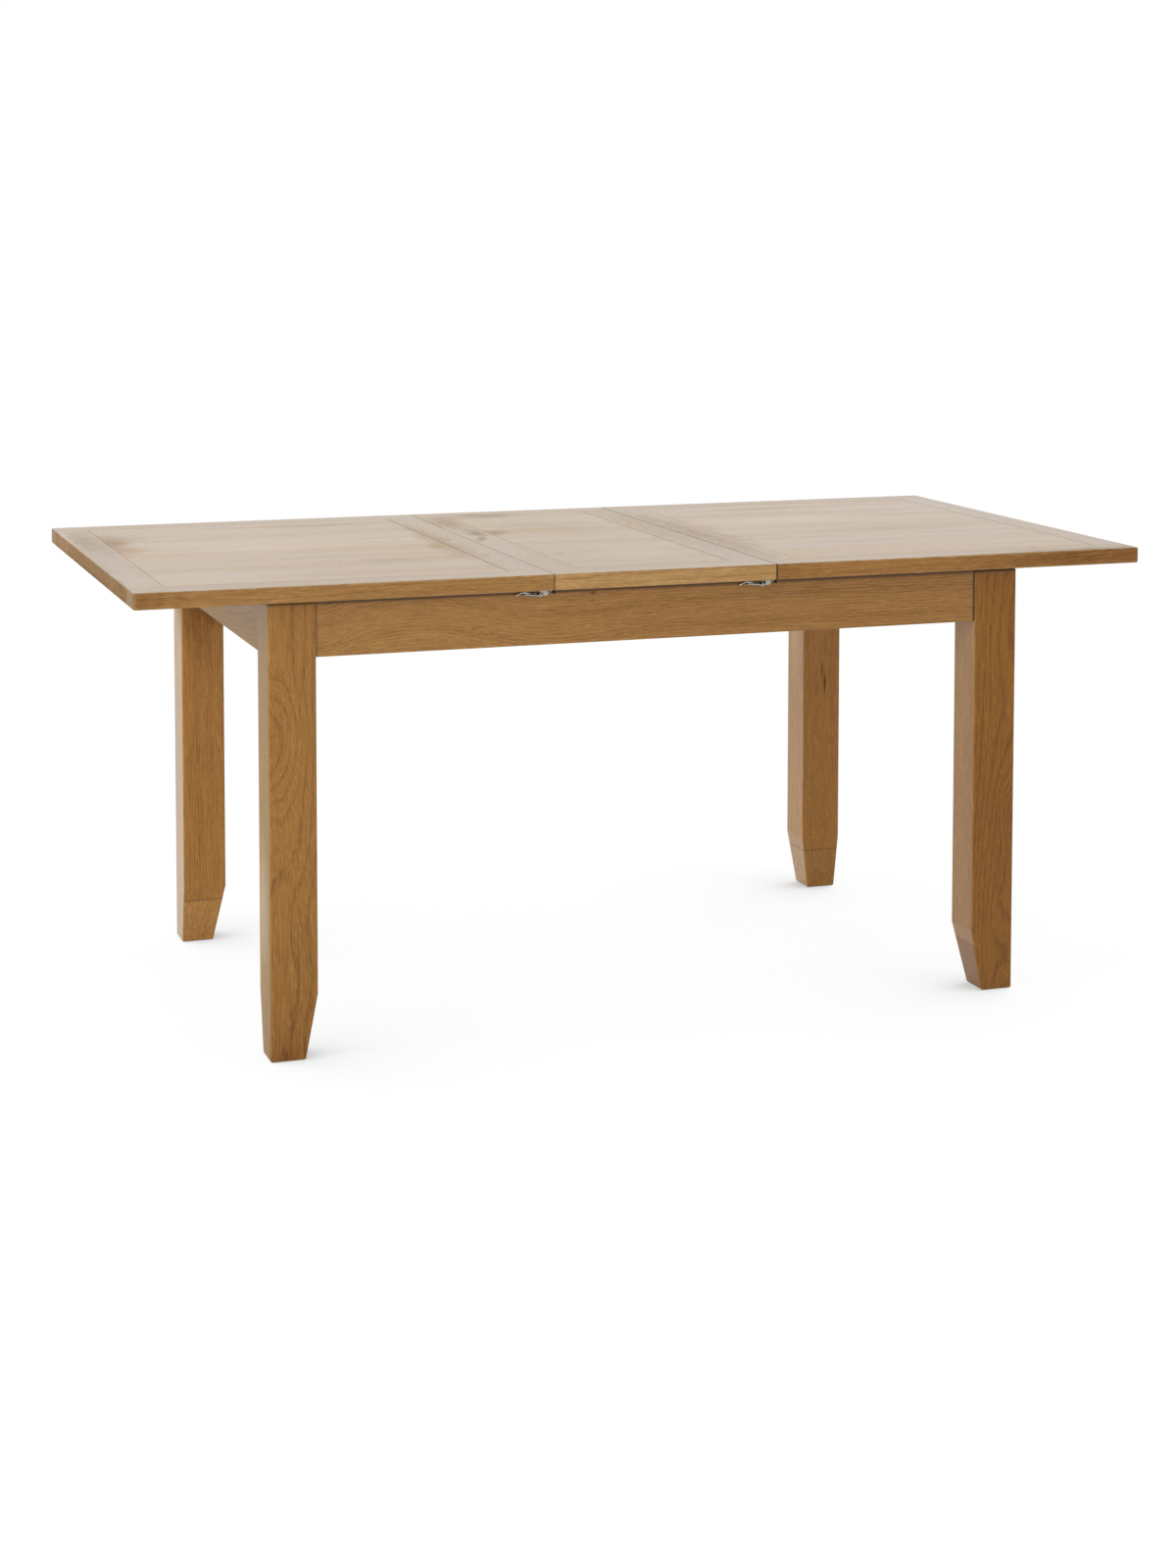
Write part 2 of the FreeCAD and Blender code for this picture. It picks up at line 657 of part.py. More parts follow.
def make_rail(section, name, end):
    """A cross member between the stiles, with a stub tenon in each."""
    low, high, outer = SECTIONS[section]
    low_x, high_x = numbers(section)
    rail = body(f"{section}_rail_{name}")
    if end < 0:
        x = (low, f"({low}) + border_width")
        tenon_x = (f"({low}) + groove_stop + fit_gap", f"({low}) + border_width")
        groove_x = (f"({low}) + border_width - tongue_long - fit_gap", f"({low}) + border_width + 1")
    else:
        x = (f"({high}) - border_width", high)
        tenon_x = (f"({high}) - border_width", f"({high}) - groove_stop - fit_gap")
        groove_x = (f"({high}) - border_width - 1", f"({high}) - border_width + tongue_long + fit_gap")
    block(rail, "board", x, ("-stile_in_y", "stile_in_y"), ("underside", "table_height"))
    end_x = low_x if end < 0 else high_x
    top, bottom = size("table_height"), size("underside")
    if end == outer:
        soften(rail, "rim", lambda b: flat_at(b, "X", end_x) and (near(b.ZMin, top) or near(b.ZMax, bottom)),
               "edge_round")
    else:
        soften(rail, "joint_edge", lambda b: flat_at(b, "X", end_x) and flat_at(b, "Z", top),
               "joint_bevel", "Chamfer")
    stile_in = size("stile_in_y")
    for butt_y in (-stile_in, stile_in):
        soften(rail, "butt_edge", lambda b, y=butt_y: flat_at(b, "Z", top) and flat_at(b, "Y", y),
               "butt_bevel", "Chamfer")
    reach = "stile_in_y + tongue_long"
    block(rail, "tenons", tenon_x, (f"-({reach})", reach), about("mid_top", "tongue_thick"))
    block(rail, "groove", groove_x, ("-stile_in_y", "stile_in_y"), about("mid_top", "tongue_thick + fit_gap"),
          cut=True)


RUNNER_LANES = {"left": "outer_lane", "right": "inner_lane"}


def runner_screws():
    return ["joint_x + runner_screw_near", "joint_x + runner_end - runner_screw_end"]


def make_panel(section):
    """The inset panel: flush with its frame, with a bevel around it and a tongue on each side."""
    low, high, outer = SECTIONS[section]
    panel = body(f"{section}_panel")
    x = (f"({low}) + border_width", f"({high}) - border_width")
    y = ("-stile_in_y", "stile_in_y")
    block(panel, "board", x, y, ("underside", "table_height"))
    soften(panel, "bevel", lambda b: flat_at(b, "Z", size("table_height")), "panel_bevel", "Chamfer")
    level = about("mid_top", "tongue_thick")
    block(panel, "end_tongues", (f"{x[0]} - tongue_long", f"{x[1]} + tongue_long"), y, level)
    block(panel, "side_tongues", x, (f"{y[0]} - tongue_long", f"{y[1]} + tongue_long"), level)
    if outer:
        for place in runner_screws():
            for side in (-1, 1):
                start = (f"{outer} * ({place})", f"{side} * ({RUNNER_LANES[section]} - runner_wide / 2)")
                rod(panel, "pilot", (*start, "underside - 1"), "wood_screw_radius + fit_gap / 2",
                    "wood_screw_bite + 1", cut=True)


def make_runner(section, name, side):
    """A runner under a half top; it reaches past the joint and carries the leaf too."""
    outer = SECTIONS[section][2]
    lane = RUNNER_LANES[section]
    runner = body(f"{section}_runner_{name}")
    x = span(outer, "joint_x + runner_end - runner_long", "joint_x + runner_end")
    block(runner, "bar", x, span(side, f"{lane} - runner_wide", lane),
          ("underside - runner_tall", "underside"))
    if section == "left":
        slot_y = span(side, "apron_in_y - guide_thick - slide_tongue_long - slide_gap", f"{lane} + 1")
    else:
        slot_y = span(side, f"{lane} - runner_wide - 1", "inner_guide_face + slide_tongue_long + slide_gap")
    slot_z = about("slide_height", "slide_tongue_tall + 2 * slide_gap")
    block(runner, "groove", (f"{x[0]} - 1", f"{x[1]} + 1"), slot_y, slot_z, cut=True)
    middle_y = f"{side} * ({lane} - runner_wide / 2)"
    for place in runner_screws():
        start = (f"{outer} * ({place})", middle_y, "underside - runner_tall - 1")
        rod(runner, "screw_hole", start, "wood_screw_radius + fit_gap / 2", "runner_tall + 2", cut=True)
        rod(runner, "counterbore", start, "wood_screw_head + fit_gap", "counterbore_deep + 1", cut=True)


def make_stop_blocks(section):
    """Blocks under the runners that meet a bearer when the half top is pulled out too far."""
    outer = SECTIONS[section][2]
    long, tall, wide = size("stop_long"), size("stop_tall"), size("runner_wide")
    stop = Part.makeBox(long, wide, tall, FreeCAD.Vector(-long / 2, -wide / 2, -tall))
    face = size("bearer_spread") - size("bearer_width") / 2 - size("over_travel") - size("stop_gap")
    x = outer * (face - long / 2)
    y = size(RUNNER_LANES[section]) - wide / 2
    level = size("underside") - size("runner_tall")
    group(f"{section}_stop_blocks", [(stop, stand(x, side * y, level)) for side in (-1, 1)])


def make_top_screws(section):
    """The screws that fix runners, catch plates and strikes to one board."""
    outer = SECTIONS[section][2]
    members = []
    if outer:
        through = size("runner_tall") - size("counterbore_deep") + size("wood_screw_head_tall")
        for reach in (size("runner_screw_near"), size("runner_end") - size("runner_screw_end")):
            for side in (-1, 1):
                y = side * (size(RUNNER_LANES[section]) - size("runner_wide") / 2)
                x = outer * (size("joint_x") + reach)
                members.append((wood_screw(through), stand(x, y, size("underside") - through)))
    head = size("small_screw_head_tall")
    level = size("underside") - size("plate_thick") - head
    small = screw(size("small_screw_head"), head, size("small_screw_radius"),
                  head + size("plate_thick") + size("small_screw_bite") - size("fit_gap"))
    for joint, places in CATCH_SCREWS[section]:
        for place in places:
            sign = -1 if place.startswith("-") else 1
            x = joint * size("joint_x") + sign * size(place.lstrip("-"))
            for side in (-1, 1):
                members.append((small, stand(x, side * size("catch_y"), level)))
    group(f"{section}_screws", members)


# ---------------------------------------------------------------- catches
# A catch is drawn about the joint line: X across the joint, Z down from the underside as minus.

def make_catch_plate():
    """The plate left of a joint, with two ears for the pivot pin and a nose that runs up to the joint."""
    plate = body("catch_plate", kept=False)
    wide = about("0", "plate_wide")
    block(plate, "strip", ("-plate_reach", "-1"), wide, ("-plate_thick", "0"))
    ear_face = "-(pivot_reach - ear_radius)"
    nose = outline(plate, "nose_side", "XZ_Plane", [
        ("-1", "-plate_thick"), ("-1 - plate_thick", "-plate_thick"),
        (f"{ear_face} - 0.5", "-nose_drop"), (f"{ear_face} - 0.5", "-nose_drop - plate_thick")])
    extrude(plate, "nose", nose, "plate_wide")
    for side in (-1, 1):
        y = span(side, "plate_wide / 2 - ear_thick", "plate_wide / 2")
        block(plate, "ear", about("-pivot_reach", "2 * ear_radius"), y, ("-pivot_drop", "0"))
        rod(plate, "ear_end", ("-pivot_reach", y[0], "-pivot_drop"), "ear_radius", "ear_thick", axis="y")
    rod(plate, "pin_hole", ("-pivot_reach", "-plate_wide", "-pivot_drop"), "pin_radius + fit_gap / 2",
        "2 * plate_wide", axis="y", cut=True)
    for place in PLATE_SCREWS:
        rod(plate, "screw_hole", (place, "0", "-plate_thick - 1"), "small_screw_radius + fit_gap / 2",
            "plate_thick + 2", cut=True)
    return plate


def make_strike():
    """The plate right of a joint, with the lip that the loop's bar pulls on."""
    strike = body("strike", kept=False)
    wide = about("0", "plate_wide")
    block(strike, "strip", ("strike_reach", "strike_reach + strike_long"), wide, ("-plate_thick", "0"))
    block(strike, "lip", ("strike_reach", "strike_reach + strike_lip_thick"), wide, ("-strike_lip_drop", "0"))
    for place in STRIKE_SCREWS:
        rod(strike, "screw_hole", (place, "0", "-plate_thick - 1"), "small_screw_radius + fit_gap / 2",
            "plate_thick + 2", cut=True)
    return strike


def make_pin():
    """The riveted pivot pin, across both ears."""
    wide, head = size("plate_wide"), size("pin_head_tall")
    pin = Part.makeCylinder(size("pin_radius"), wide + 2 * head, FreeCAD.Vector(0, 0, -wide / 2 - head))
    ends = [Part.makeCylinder(size("pin_head"), head, FreeCAD.Vector(0, 0, z))
            for z in (wide / 2, -wide / 2 - head)]
    return pin.fuse(ends).removeSplitter()


def at_joint(joint, side, x=0.0, z=0.0):
    return stand(joint * size("joint_x") + x, side * size("catch_y"), size("underside") + z)


def make_catch_fixings():
    """Plates, pins and strikes, a front and a back one in each sub-part."""
    plate, strike, pin = make_catch_plate(), make_strike(), make_pin()
    doc.recompute()
    across = FreeCAD.Placement(FreeCAD.Vector(), AXES["y"])
    for section, joint in (("left", -1), ("leaf", 1)):
        group(f"{section}_catch_plates", [(plate.Shape, at_joint(joint, side)) for side in (-1, 1)])
        group(f"{section}_catch_pins", [
            (pin, at_joint(joint, side, -size("pivot_reach"), -size("pivot_drop")).multiply(across))
            for side in (-1, 1)])
    for section, joint in (("leaf", -1), ("right", 1)):
        group(f"{section}_strikes", [(strike.Shape, at_joint(joint, side)) for side in (-1, 1)])


def make_lever(name, joint, side):
    """A bent strip with a sleeve on the pivot pin and a second sleeve that carries the loop."""
    lever = body(f"lever_{name}")
    half = "lever_thick / 2"
    line = [("pivot_reach", "pivot_drop + sleeve_radius - lever_thick / 2"),
            ("loop_pivot_reach", "loop_pivot_drop + loop_sleeve_radius - lever_thick / 2"),
            ("lever_bend_reach", "lever_crest_drop"),
            ("lever_crest_reach", "lever_crest_drop"),
            ("lever_tip_reach", "lever_tip_drop")]
    lower = [(f"-({x})", f"-({z}) - {half}") for x, z in line]
    upper = [(f"-({x})", f"-({z}) + {half}") for x, z in reversed(line)]
    extrude(lever, "strip", outline(lever, "side", "XZ_Plane", lower + upper), "lever_wide")
    bends = (-size("lever_bend_reach"), -size("lever_crest_reach"))
    soften(lever, "bends", lambda b: b.YLength > 1 and any(flat_at(b, "X", x) for x in bends),
           "lever_round")
    end = "-lever_tip_reach - 1"
    for row in (-1, 1):
        edge = f"{row} * (lever_wide / 2 + 1)"
        corner = outline(lever, "tip_corner", "XY_Plane", [
            (end, f"{row} * (lever_wide / 2 - tip_bevel - 1)"), (f"{end} + tip_bevel + 2", edge),
            (end, edge)])
        extrude(lever, "tip_bevel_cut", corner, "4 * lever_tip_drop", cut=True)
    wide = ("-lever_wide / 2", "lever_wide")
    rod(lever, "sleeve", ("-pivot_reach", wide[0], "-pivot_drop"), "sleeve_radius", wide[1], axis="y")
    rod(lever, "loop_sleeve", ("-loop_pivot_reach", wide[0], "-loop_pivot_drop"), "loop_sleeve_radius",
        wide[1], axis="y")
    through = ("-lever_wide", "2 * lever_wide")
    rod(lever, "bore", ("-pivot_reach", through[0], "-pivot_drop"), "pin_radius + pin_gap", through[1],
        axis="y", cut=True)
    rod(lever, "loop_bore", ("-loop_pivot_reach", through[0], "-loop_pivot_drop"), "wire_radius + pin_gap",
        through[1], axis="y", cut=True)
    put(lever, f"{joint} * joint_x", f"{side} * catch_y", "underside")


def bent_line(points, radius):
    """Straight runs through points, with an arc of one radius at each corner."""
    edges = []
    start = points[0]
    for corner, after in zip(points[1:-1], points[2:]):
        incoming = (corner - start).normalize()
        outgoing = (after - corner).normalize()
        arc_start = corner - incoming * radius
        arc_end = corner + outgoing * radius
        middle = corner + (outgoing - incoming) * (radius * (1 - math.sqrt(0.5)))
        edges.append(Part.LineSegment(start, arc_start).toShape())
        edges.append(Part.Arc(arc_start, middle, arc_end).toShape())
        start = arc_end
    edges.append(Part.LineSegment(start, points[-1]).toShape())
    return Part.Wire(edges)


def loop_length():
    """From the loop's pivot to its bar, which stops just behind the strike's lip when it is swung over."""
    bar = size("strike_reach") + size("strike_lip_thick") + size("bar_gap") + size("wire_radius")
    return math.hypot(bar + size("loop_pivot_reach"), size("loop_pivot_drop") - size("bar_drop"))


def make_loop(name, joint, side):
    """The wire loop on a lever, folded back under it."""
    reach, half = loop_length(), size("loop_half_wide")
    inner = size("lever_wide") / 2 - size("loop_bite")
    points = [FreeCAD.Vector(x, y, 0) for x, y in
              ((0, -inner), (0, -half), (-reach, -half), (-reach, half), (0, half), (0, inner))]
    path = bent_line(points, size("loop_bend"))
    ring = Part.Wire(Part.makeCircle(size("wire_radius"), points[0], FreeCAD.Vector(0, 1, 0)))
    loop = doc.addObject("Part::Feature", f"loop_{name}")
    loop.Label = f"loop_{name}"
    loop.Shape = path.makePipeShell([ring], True, False)
    lift = math.degrees(math.asin((size("loop_pivot_drop") - size("loop_rest_drop")) / reach))
    corner = at_joint(joint, side, -size("loop_pivot_reach"), -size("loop_pivot_drop"))
    loop.Placement = corner.multiply(stand(0, 0, 0, lift, (0, 1, 0)))
    pieces.append(loop)


# ---------------------------------------------------------------- the whole table

ROWS = {"front": -1, "back": 1}
ENDS = {"left": -1, "right": 1}

for corner_name in CORNERS:
    make_leg(corner_name)
for row_name, row_side in ROWS.items():
    make_long_apron(row_name, row_side)
    make_outer_guide(row_name, row_side)
    make_inner_guide(row_name, row_side)
for end_name, end_side in ENDS.items():
    make_end_apron(end_name, end_side)
    make_bearer(end_name, end_side)
make_corner_hardware()
make_frame_screws()
make_pads()
make_foot_glides()

for section_name in SECTIONS:
    for row_name, row_side in ROWS.items():
        make_stile(section_name, row_name, row_side)
    for end_name, end_side in ENDS.items():
        make_rail(section_name, end_name, end_side)
    make_panel(section_name)
    make_top_screws(section_name)
for section_name in RUNNER_LANES:
    for row_name, row_side in ROWS.items():
        make_runner(section_name, row_name, row_side)
    make_stop_blocks(section_name)

make_catch_fixings()
for end_name, end_side in ENDS.items():
    for row_name, row_side in ROWS.items():
        make_lever(f"{end_name}_{row_name}", end_side, row_side)
        make_loop(f"{end_name}_{row_name}", end_side, row_side)

doc.recompute()
for item in doc.Objects:
    if "Invalid" in item.State or "Error" in item.State:
        raise RuntimeError(f"{item.Label} did not build: {item.State}")
for piece in pieces:
    if piece.Shape.isNull() or not piece.Shape.isValid() or not piece.Shape.Solids:
        raise RuntimeError(f"{piece.Label} has no valid shape")

os.makedirs("parts", exist_ok=True)
for piece in pieces:
    piece.Shape.exportStep(f"parts/{piece.Label}.step")
print(len(pieces), "sub-parts written")
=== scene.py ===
import json
import math
from dataclasses import dataclass

import bpy
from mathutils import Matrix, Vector


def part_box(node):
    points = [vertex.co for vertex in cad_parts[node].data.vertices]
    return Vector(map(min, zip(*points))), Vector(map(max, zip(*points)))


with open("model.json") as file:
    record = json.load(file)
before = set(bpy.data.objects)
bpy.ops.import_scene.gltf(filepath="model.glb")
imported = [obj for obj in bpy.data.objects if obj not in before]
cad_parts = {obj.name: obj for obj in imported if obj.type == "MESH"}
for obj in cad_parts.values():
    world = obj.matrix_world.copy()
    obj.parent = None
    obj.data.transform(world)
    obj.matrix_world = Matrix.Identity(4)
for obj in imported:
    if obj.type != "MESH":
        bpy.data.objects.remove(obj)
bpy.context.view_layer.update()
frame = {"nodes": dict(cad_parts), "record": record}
NODES = frame["nodes"]

MM = 0.001
AXES = {"x": 0, "y": 1, "z": 2}


# ---------------------------------------------------------------- node calls

# The colour sockets of a Mix node, which share their names with its other sockets.
MIX_A, MIX_B, MIX_RESULT = 6, 7, 2


class Tree:
    """Short calls that add nodes to one node tree and return their output sockets."""

    def __init__(self, tree):
        self.tree = tree
        tree.nodes.clear()

    def add(self, kind, **settings):
        node = self.tree.nodes.new(kind)
        for name, value in settings.items():
            setattr(node, name, value)
        return node

    def feed(self, socket, value):
        """Links an input to an output socket, or sets it to a number or colour."""
        if isinstance(value, bpy.types.NodeSocket):
            self.tree.links.new(value, socket)
        else:
            socket.default_value = value

    def line_up(self, node, *values):
        """Feeds a node's first inputs, in their order."""
        for socket, value in zip(node.inputs, values):
            self.feed(socket, value)
        return node

    def fill(self, node, entries):
        """Feeds a node's inputs by their names."""
        for name, value in entries.items():
            self.feed(node.inputs[name], value)
        return node

    def math(self, operation, *values):
        node = self.add("ShaderNodeMath", operation=operation)
        return self.line_up(node, *values).outputs[0]

    def chain(self, operation, result, *others):
        for other in others:
            result = self.math(operation, result, other)
        return result

    def total(self, *values):
        return self.chain("ADD", *values)

    def times(self, *values):
        return self.chain("MULTIPLY", *values)

    def centred(self, value):
        """Noise from 0 to 1, moved to go both ways from 0."""
        return self.math("SUBTRACT", value, 0.5)

    def weighed(self, parts, weights):
        """Each part that has a weight, times its weight."""
        return [self.times(parts[name], weight) for name, weight in weights.items()]

    def vector(self, operation, *values):
        node = self.add("ShaderNodeVectorMath", operation=operation)
        return self.line_up(node, *values).outputs["Value" if operation == "LENGTH" else "Vector"]

    def split(self, vector):
        return list(self.line_up(self.add("ShaderNodeSeparateXYZ"), vector).outputs)

    def join(self, x, y, z):
        return self.line_up(self.add("ShaderNodeCombineXYZ"), x, y, z).outputs[0]

    def noise(self, where, grain, detail=2.0, rough=0.5, colour=False):
        """Noise with grain waves per metre; grain may be three numbers, for stretched noise."""
        if not isinstance(grain, (int, float)):
            where, grain = self.vector("MULTIPLY", where, grain), 1.0
        entries = {"Vector": where, "Scale": grain, "Detail": detail, "Roughness": rough}
        node = self.fill(self.add("ShaderNodeTexNoise"), entries)
        return node.outputs["Color" if colour else "Fac"]

    def drift(self, where, grain, rough=0.5):
        """A vector that wanders from place to place, up to 0.5 each way."""
        return self.vector("SUBTRACT", self.noise(where, grain, 2.0, rough, True), (0.5, 0.5, 0.5))

    def ramp(self, value, low, high, start=0.0, end=1.0):
        """start where value is low, end where it is high, and smooth between them."""
        node = self.add("ShaderNodeMapRange", interpolation_type="SMOOTHSTEP")
        return self.line_up(node, value, low, high, start, end).outputs["Result"]

    def fade(self, value, near, far, amount=1.0):
        """amount where value is under near, and 0 where it is over far."""
        return self.ramp(value, near, far, amount, 0.0)

    def blend(self, share, a, b, how="MIX", clamp=True):
        """Colour a at a share of 0, and b at 1. Without clamp, it goes on beyond both."""
        node = self.add("ShaderNodeMix", data_type="RGBA", blend_type=how, clamp_factor=clamp)
        self.feed(node.inputs["Factor"], share)
        self.feed(node.inputs[MIX_A], a)
        self.feed(node.inputs[MIX_B], b)
        return node.outputs[MIX_RESULT]

    def tinted(self, colour, share, tint):
        return self.blend(share, colour, self.blend(1.0, colour, (*tint, 1.0), "MULTIPLY"))

    def bump(self, height, distance, strength):
        entries = {"Height": height, "Distance": distance, "Strength": strength}
        return self.fill(self.add("ShaderNodeBump"), entries).outputs["Normal"]

    def places(self):
        """The point in object coordinates, which are the frame's own, in metres."""
        return self.add("ShaderNodeTexCoord").outputs["Object"]

    def facing(self):
        """The x, y and z of the surface's normal."""
        return self.split(self.add("ShaderNodeNewGeometry").outputs["Normal"])

    def shader(self, kind, **entries):
        return self.fill(self.add(kind), entries).outputs[0]

    def either(self, share, first, second):
        """The first shader at a share of 0, and the second at 1."""
        return self.line_up(self.add("ShaderNodeMixShader"), share, first, second).outputs[0]

    def end_in(self, shader, kind="ShaderNodeOutputMaterial"):
        self.fill(self.add(kind), {"Surface": shader})


def new_material(name):
    material = bpy.data.materials.new(name)
    material.use_nodes = True
    return material, Tree(material.node_tree)


def shaded(name, paint):
    """A material whose Principled shader takes what paint(tree) gives for its inputs."""
    material, t = new_material(name)
    shader = t.add("ShaderNodeBsdfPrincipled")
    t.end_in(shader.outputs[0])
    t.fill(shader, paint(t))
    return material


def dress(node, material):
    """Gives a CAD node its material."""
    slots = NODES[node].data.materials
    slots.clear()
    slots.append(material)


# ---------------------------------------------------------------- oak

# Waves of noise per metre: along the grain, across and deep in the board.
WANDER_GRAIN = (2.6, 9.0, 9.0)
JITTER_GRAIN = (7.0, 60.0, 60.0)
BROAD_GRAIN = (1.4, 14.0, 14.0)
# The same along the trunk, round its pith and out from it.
JAGGED_GRAIN = (22.0, 620.0, 620.0)
FIBRE_GRAIN = (14.0, 520.0, 520.0)
PORE_GRAIN = (60.0, 760.0, 760.0)
# Rays per metre along, per radian round the pith and per metre out from it.
RAY_GRAIN = (26.0, 120.0, 34.0)
YEAR_GRAIN = 0.37  # waves of good and bad years per ring

TRUNK_RADIUS = 0.09  # turns a turn round the pith into metres
JAGGED_DEPTH = 0.0020
JITTER_RINGS = 0.6
EARLY_END, LATE_END = 0.34, 0.88  # shares of a ring
PORES_LATE, PORES_EARLY = 0.4, 0.6  # early wood has the sum of both
PORE_RANGE = (0.53, 0.68)
GLINT_RANGE = (0.46, 0.32)
RAY_RANGE = (0.62, 0.74)

# How much each part of the wood lightens it, dulls it and stands out of it.
PLAIN_SHADE = 0.64
SHADE = {
    "early": -0.26,
    "year": 0.45,
    "fibre": 1.9,
    "broad": 0.5,
    "rays": 0.12,
    "glints": 0.42,
    "pores": -0.34,
    "stain_and_shade": -0.8,
}
DULLNESS = {"fibre": 0.12, "broad": 0.22, "pores": 0.06, "stain_and_shade": 0.4}
HEIGHT = {"early": -0.3, "fibre height": 0.6, "pores": -0.8, "rays": 0.1}
SHADE_LOW, SHADE_HIGH = -0.25, 1.25
DARK_WOOD, PALE_WOOD = (0.64, 0.55, 0.40, 1.0), (1.25, 1.32, 1.50, 1.0)


def group_sockets(group, way, **kinds):
    for name, kind in kinds.items():
        group.interface.new_socket(name=name, in_out=way, socket_type="NodeSocket" + kind)


def round_pith(t, given, seeded):
    """(the place along the trunk, the turn round its pith, the distance out from it)."""
    along, across, deep = t.split(given["Place"])
    wander = t.drift(seeded, WANDER_GRAIN, 0.45)
    ways = zip((across, deep), t.split(given["Pith"]), t.split(given["Lean"]), t.split(wander))
    side, depth = (
        t.total(t.math("SUBTRACT", place, pith), t.times(lean, along), t.times(own, given["Wave"]))
        for place, pith, lean, own in ways
    )
    radius = t.math("SQRT", t.total(t.times(side, side), t.times(depth, depth)))
    turn = t.math("ARCTAN2", side, t.math("ABSOLUTE", depth))
    return along, turn, t.total(radius, given["Bulge"])


def wood_parts(t, given, seeded):
    """The parts of the wood by name, each 1 where it is strongest, or both ways from 0.

    The rings are uneven by each ring's own growth and, as fibres break out at the surface, by a
    jagged edge. Fibres, pores and rays lie in the ring shells and run along the trunk.
    """
    along, turn, radius = round_pith(t, given, seeded)
    trunk = t.join(along, t.times(turn, TRUNK_RADIUS), radius)
    trunk = t.vector("ADD", trunk, t.join(given["Seed"], 0.0, 0.0))
    jagged = t.times(t.noise(trunk, JAGGED_GRAIN, 2.0, 0.6), JAGGED_DEPTH)
    jitter = t.times(t.noise(seeded, JITTER_GRAIN), JITTER_RINGS)
    rings = t.total(t.math("DIVIDE", t.total(radius, jagged), given["Ring"]), jitter)
    step = t.math("FRACT", rings)
    early = t.math("MAXIMUM", t.fade(step, 0.0, EARLY_END), t.ramp(step, LATE_END, 1.0))
    year = t.noise(t.join(t.times(rings, YEAR_GRAIN), given["Seed"], 0.0), 1.0, 1.0)
    fibre = t.noise(trunk, FIBRE_GRAIN, 3.0, 0.82)
    pores = t.noise(trunk, PORE_GRAIN, 2.0, 0.6)
    share = t.math("ADD", t.times(early, PORES_EARLY), PORES_LATE)
    rays = t.join(*(t.times(place, grain) for place, grain in zip((along, turn, radius), RAY_GRAIN)))
    return {
        "early": t.times(early, given["Figure"]),
        "year": t.centred(year),
        "fibre": t.centred(fibre),
        "fibre height": fibre,
        "broad": t.centred(t.noise(seeded, BROAD_GRAIN)),
        "rays": t.ramp(t.noise(rays, 1.0, 1.0), *RAY_RANGE),
        "glints": t.ramp(pores, *GLINT_RANGE),
        "pores": t.times(t.ramp(pores, *PORE_RANGE), share),
        "stain_and_shade": given["Stain"],
    }


def oak_group():
    """One sawn piece of oak as a solid texture.

    Place is (along the grain, across, deep) in metres from the board's middle. The growth rings are
    shells round the pith, a line at Pith that leans by Lean per metre of length, so the faces show
    straight or arched figure and the ends show the rings themselves.
    """
    group = bpy.data.node_groups.new("oak", "ShaderNodeTree")
    group_sockets(group, "INPUT", Place="Vector", Pith="Vector", Lean="Vector", Seed="Float")
    group_sockets(group, "INPUT", Ring="Float", Wave="Float", Bulge="Float", Stain="Float")
    group_sockets(group, "INPUT", Figure="Float", Tone="Color")
    group_sockets(group, "OUTPUT", Colour="Color", Gloss="Float", Height="Float")
    t = Tree(group)
    given = t.add("NodeGroupInput").outputs
    seed = given["Seed"]
    parts = wood_parts(t, given, t.vector("ADD", given["Place"], t.join(seed, seed, seed)))
    shade = t.total(PLAIN_SHADE, *t.weighed(parts, SHADE))
    shade = t.math("MAXIMUM", t.math("MINIMUM", shade, SHADE_HIGH), SHADE_LOW)
    wood = t.blend(shade, DARK_WOOD, PALE_WOOD, clamp=False)
    results = {
        "Colour": t.blend(1.0, given["Tone"], wood, "MULTIPLY"),
        "Gloss": t.total(*t.weighed(parts, DULLNESS)),
        "Height": t.total(*t.weighed(parts, HEIGHT)),
    }
    t.fill(t.add("NodeGroupOutput"), results)
    return group


OAK = oak_group()


# ---------------------------------------------------------------- boards

OAK_IOR = 1.38
OAK_DEPTH = 0.0004
TOP_ROUGH = 0.19
# Paler rubbed wear on the edges, which also serves as a painted highlight along them.
RUBBED_AND_HIGHLIT = (0.50, 0.32, 0.16, 1.0)
# Painted shade: the colour of the dark lines in gaps and under the top.
GAP_SHADE = (0.045, 0.018, 0.006, 1.0)
SEAM_LINE = (0.10, 0.045, 0.010, 1.0)

KNOT_GRAIN, KNOT_RANGE = (14.0, 160.0, 160.0), (0.35, 0.6)
CLOUD_GRAIN = (6.0, 22.0, 22.0)
DRIFT_GRAIN, DRIFT_REACH = 11.0, (0.10, 0.06, 0.0)
RUB_GRAIN, RUB_RANGE = 55.0, (0.35, 0.6)

# How far apart in their log a panel's staves were cut at most, in metres, and how their tone varies.
STAVE_STEP, STAVE_SHIFT, STAVE_SINK = 7.0, 0.09, 0.05
STAVE_DARK, STAVE_PALE = 0.93, 1.07
FOOT_STEP, FOOT_SHIFT = 1.7, 0.03  # how far from the leg's own wood its foot was cut, in metres

# How far from an edge, a neighbour or the seam a mark is still full, and where it has gone, in metres.
ARRIS = (0.0006, 0.0035)
RIM_SIDE, RIM_END = (0.002, 0.009), (0.0014, 0.0045)
SEAM_WIDTH = (0.0005, 0.0022)
SEAM_HEIGHT, SEAM_EDGE, SEAM_DARK = 0.083, 0.0004, 0.55
GAP_CORE = 0.3  # the share of a gap's painted shade line that is full
GAP_FACE = (0.7, 0.95)  # how squarely a face looks into a gap: painted shade line still full, and gone
# How squarely a face looks one way: where its tint starts, and where it is full.
INNER_FACE, TOP_FACE, CHEEK_FACE = (0.7, 0.9), (0.5, 0.95), (0.6, 0.85)


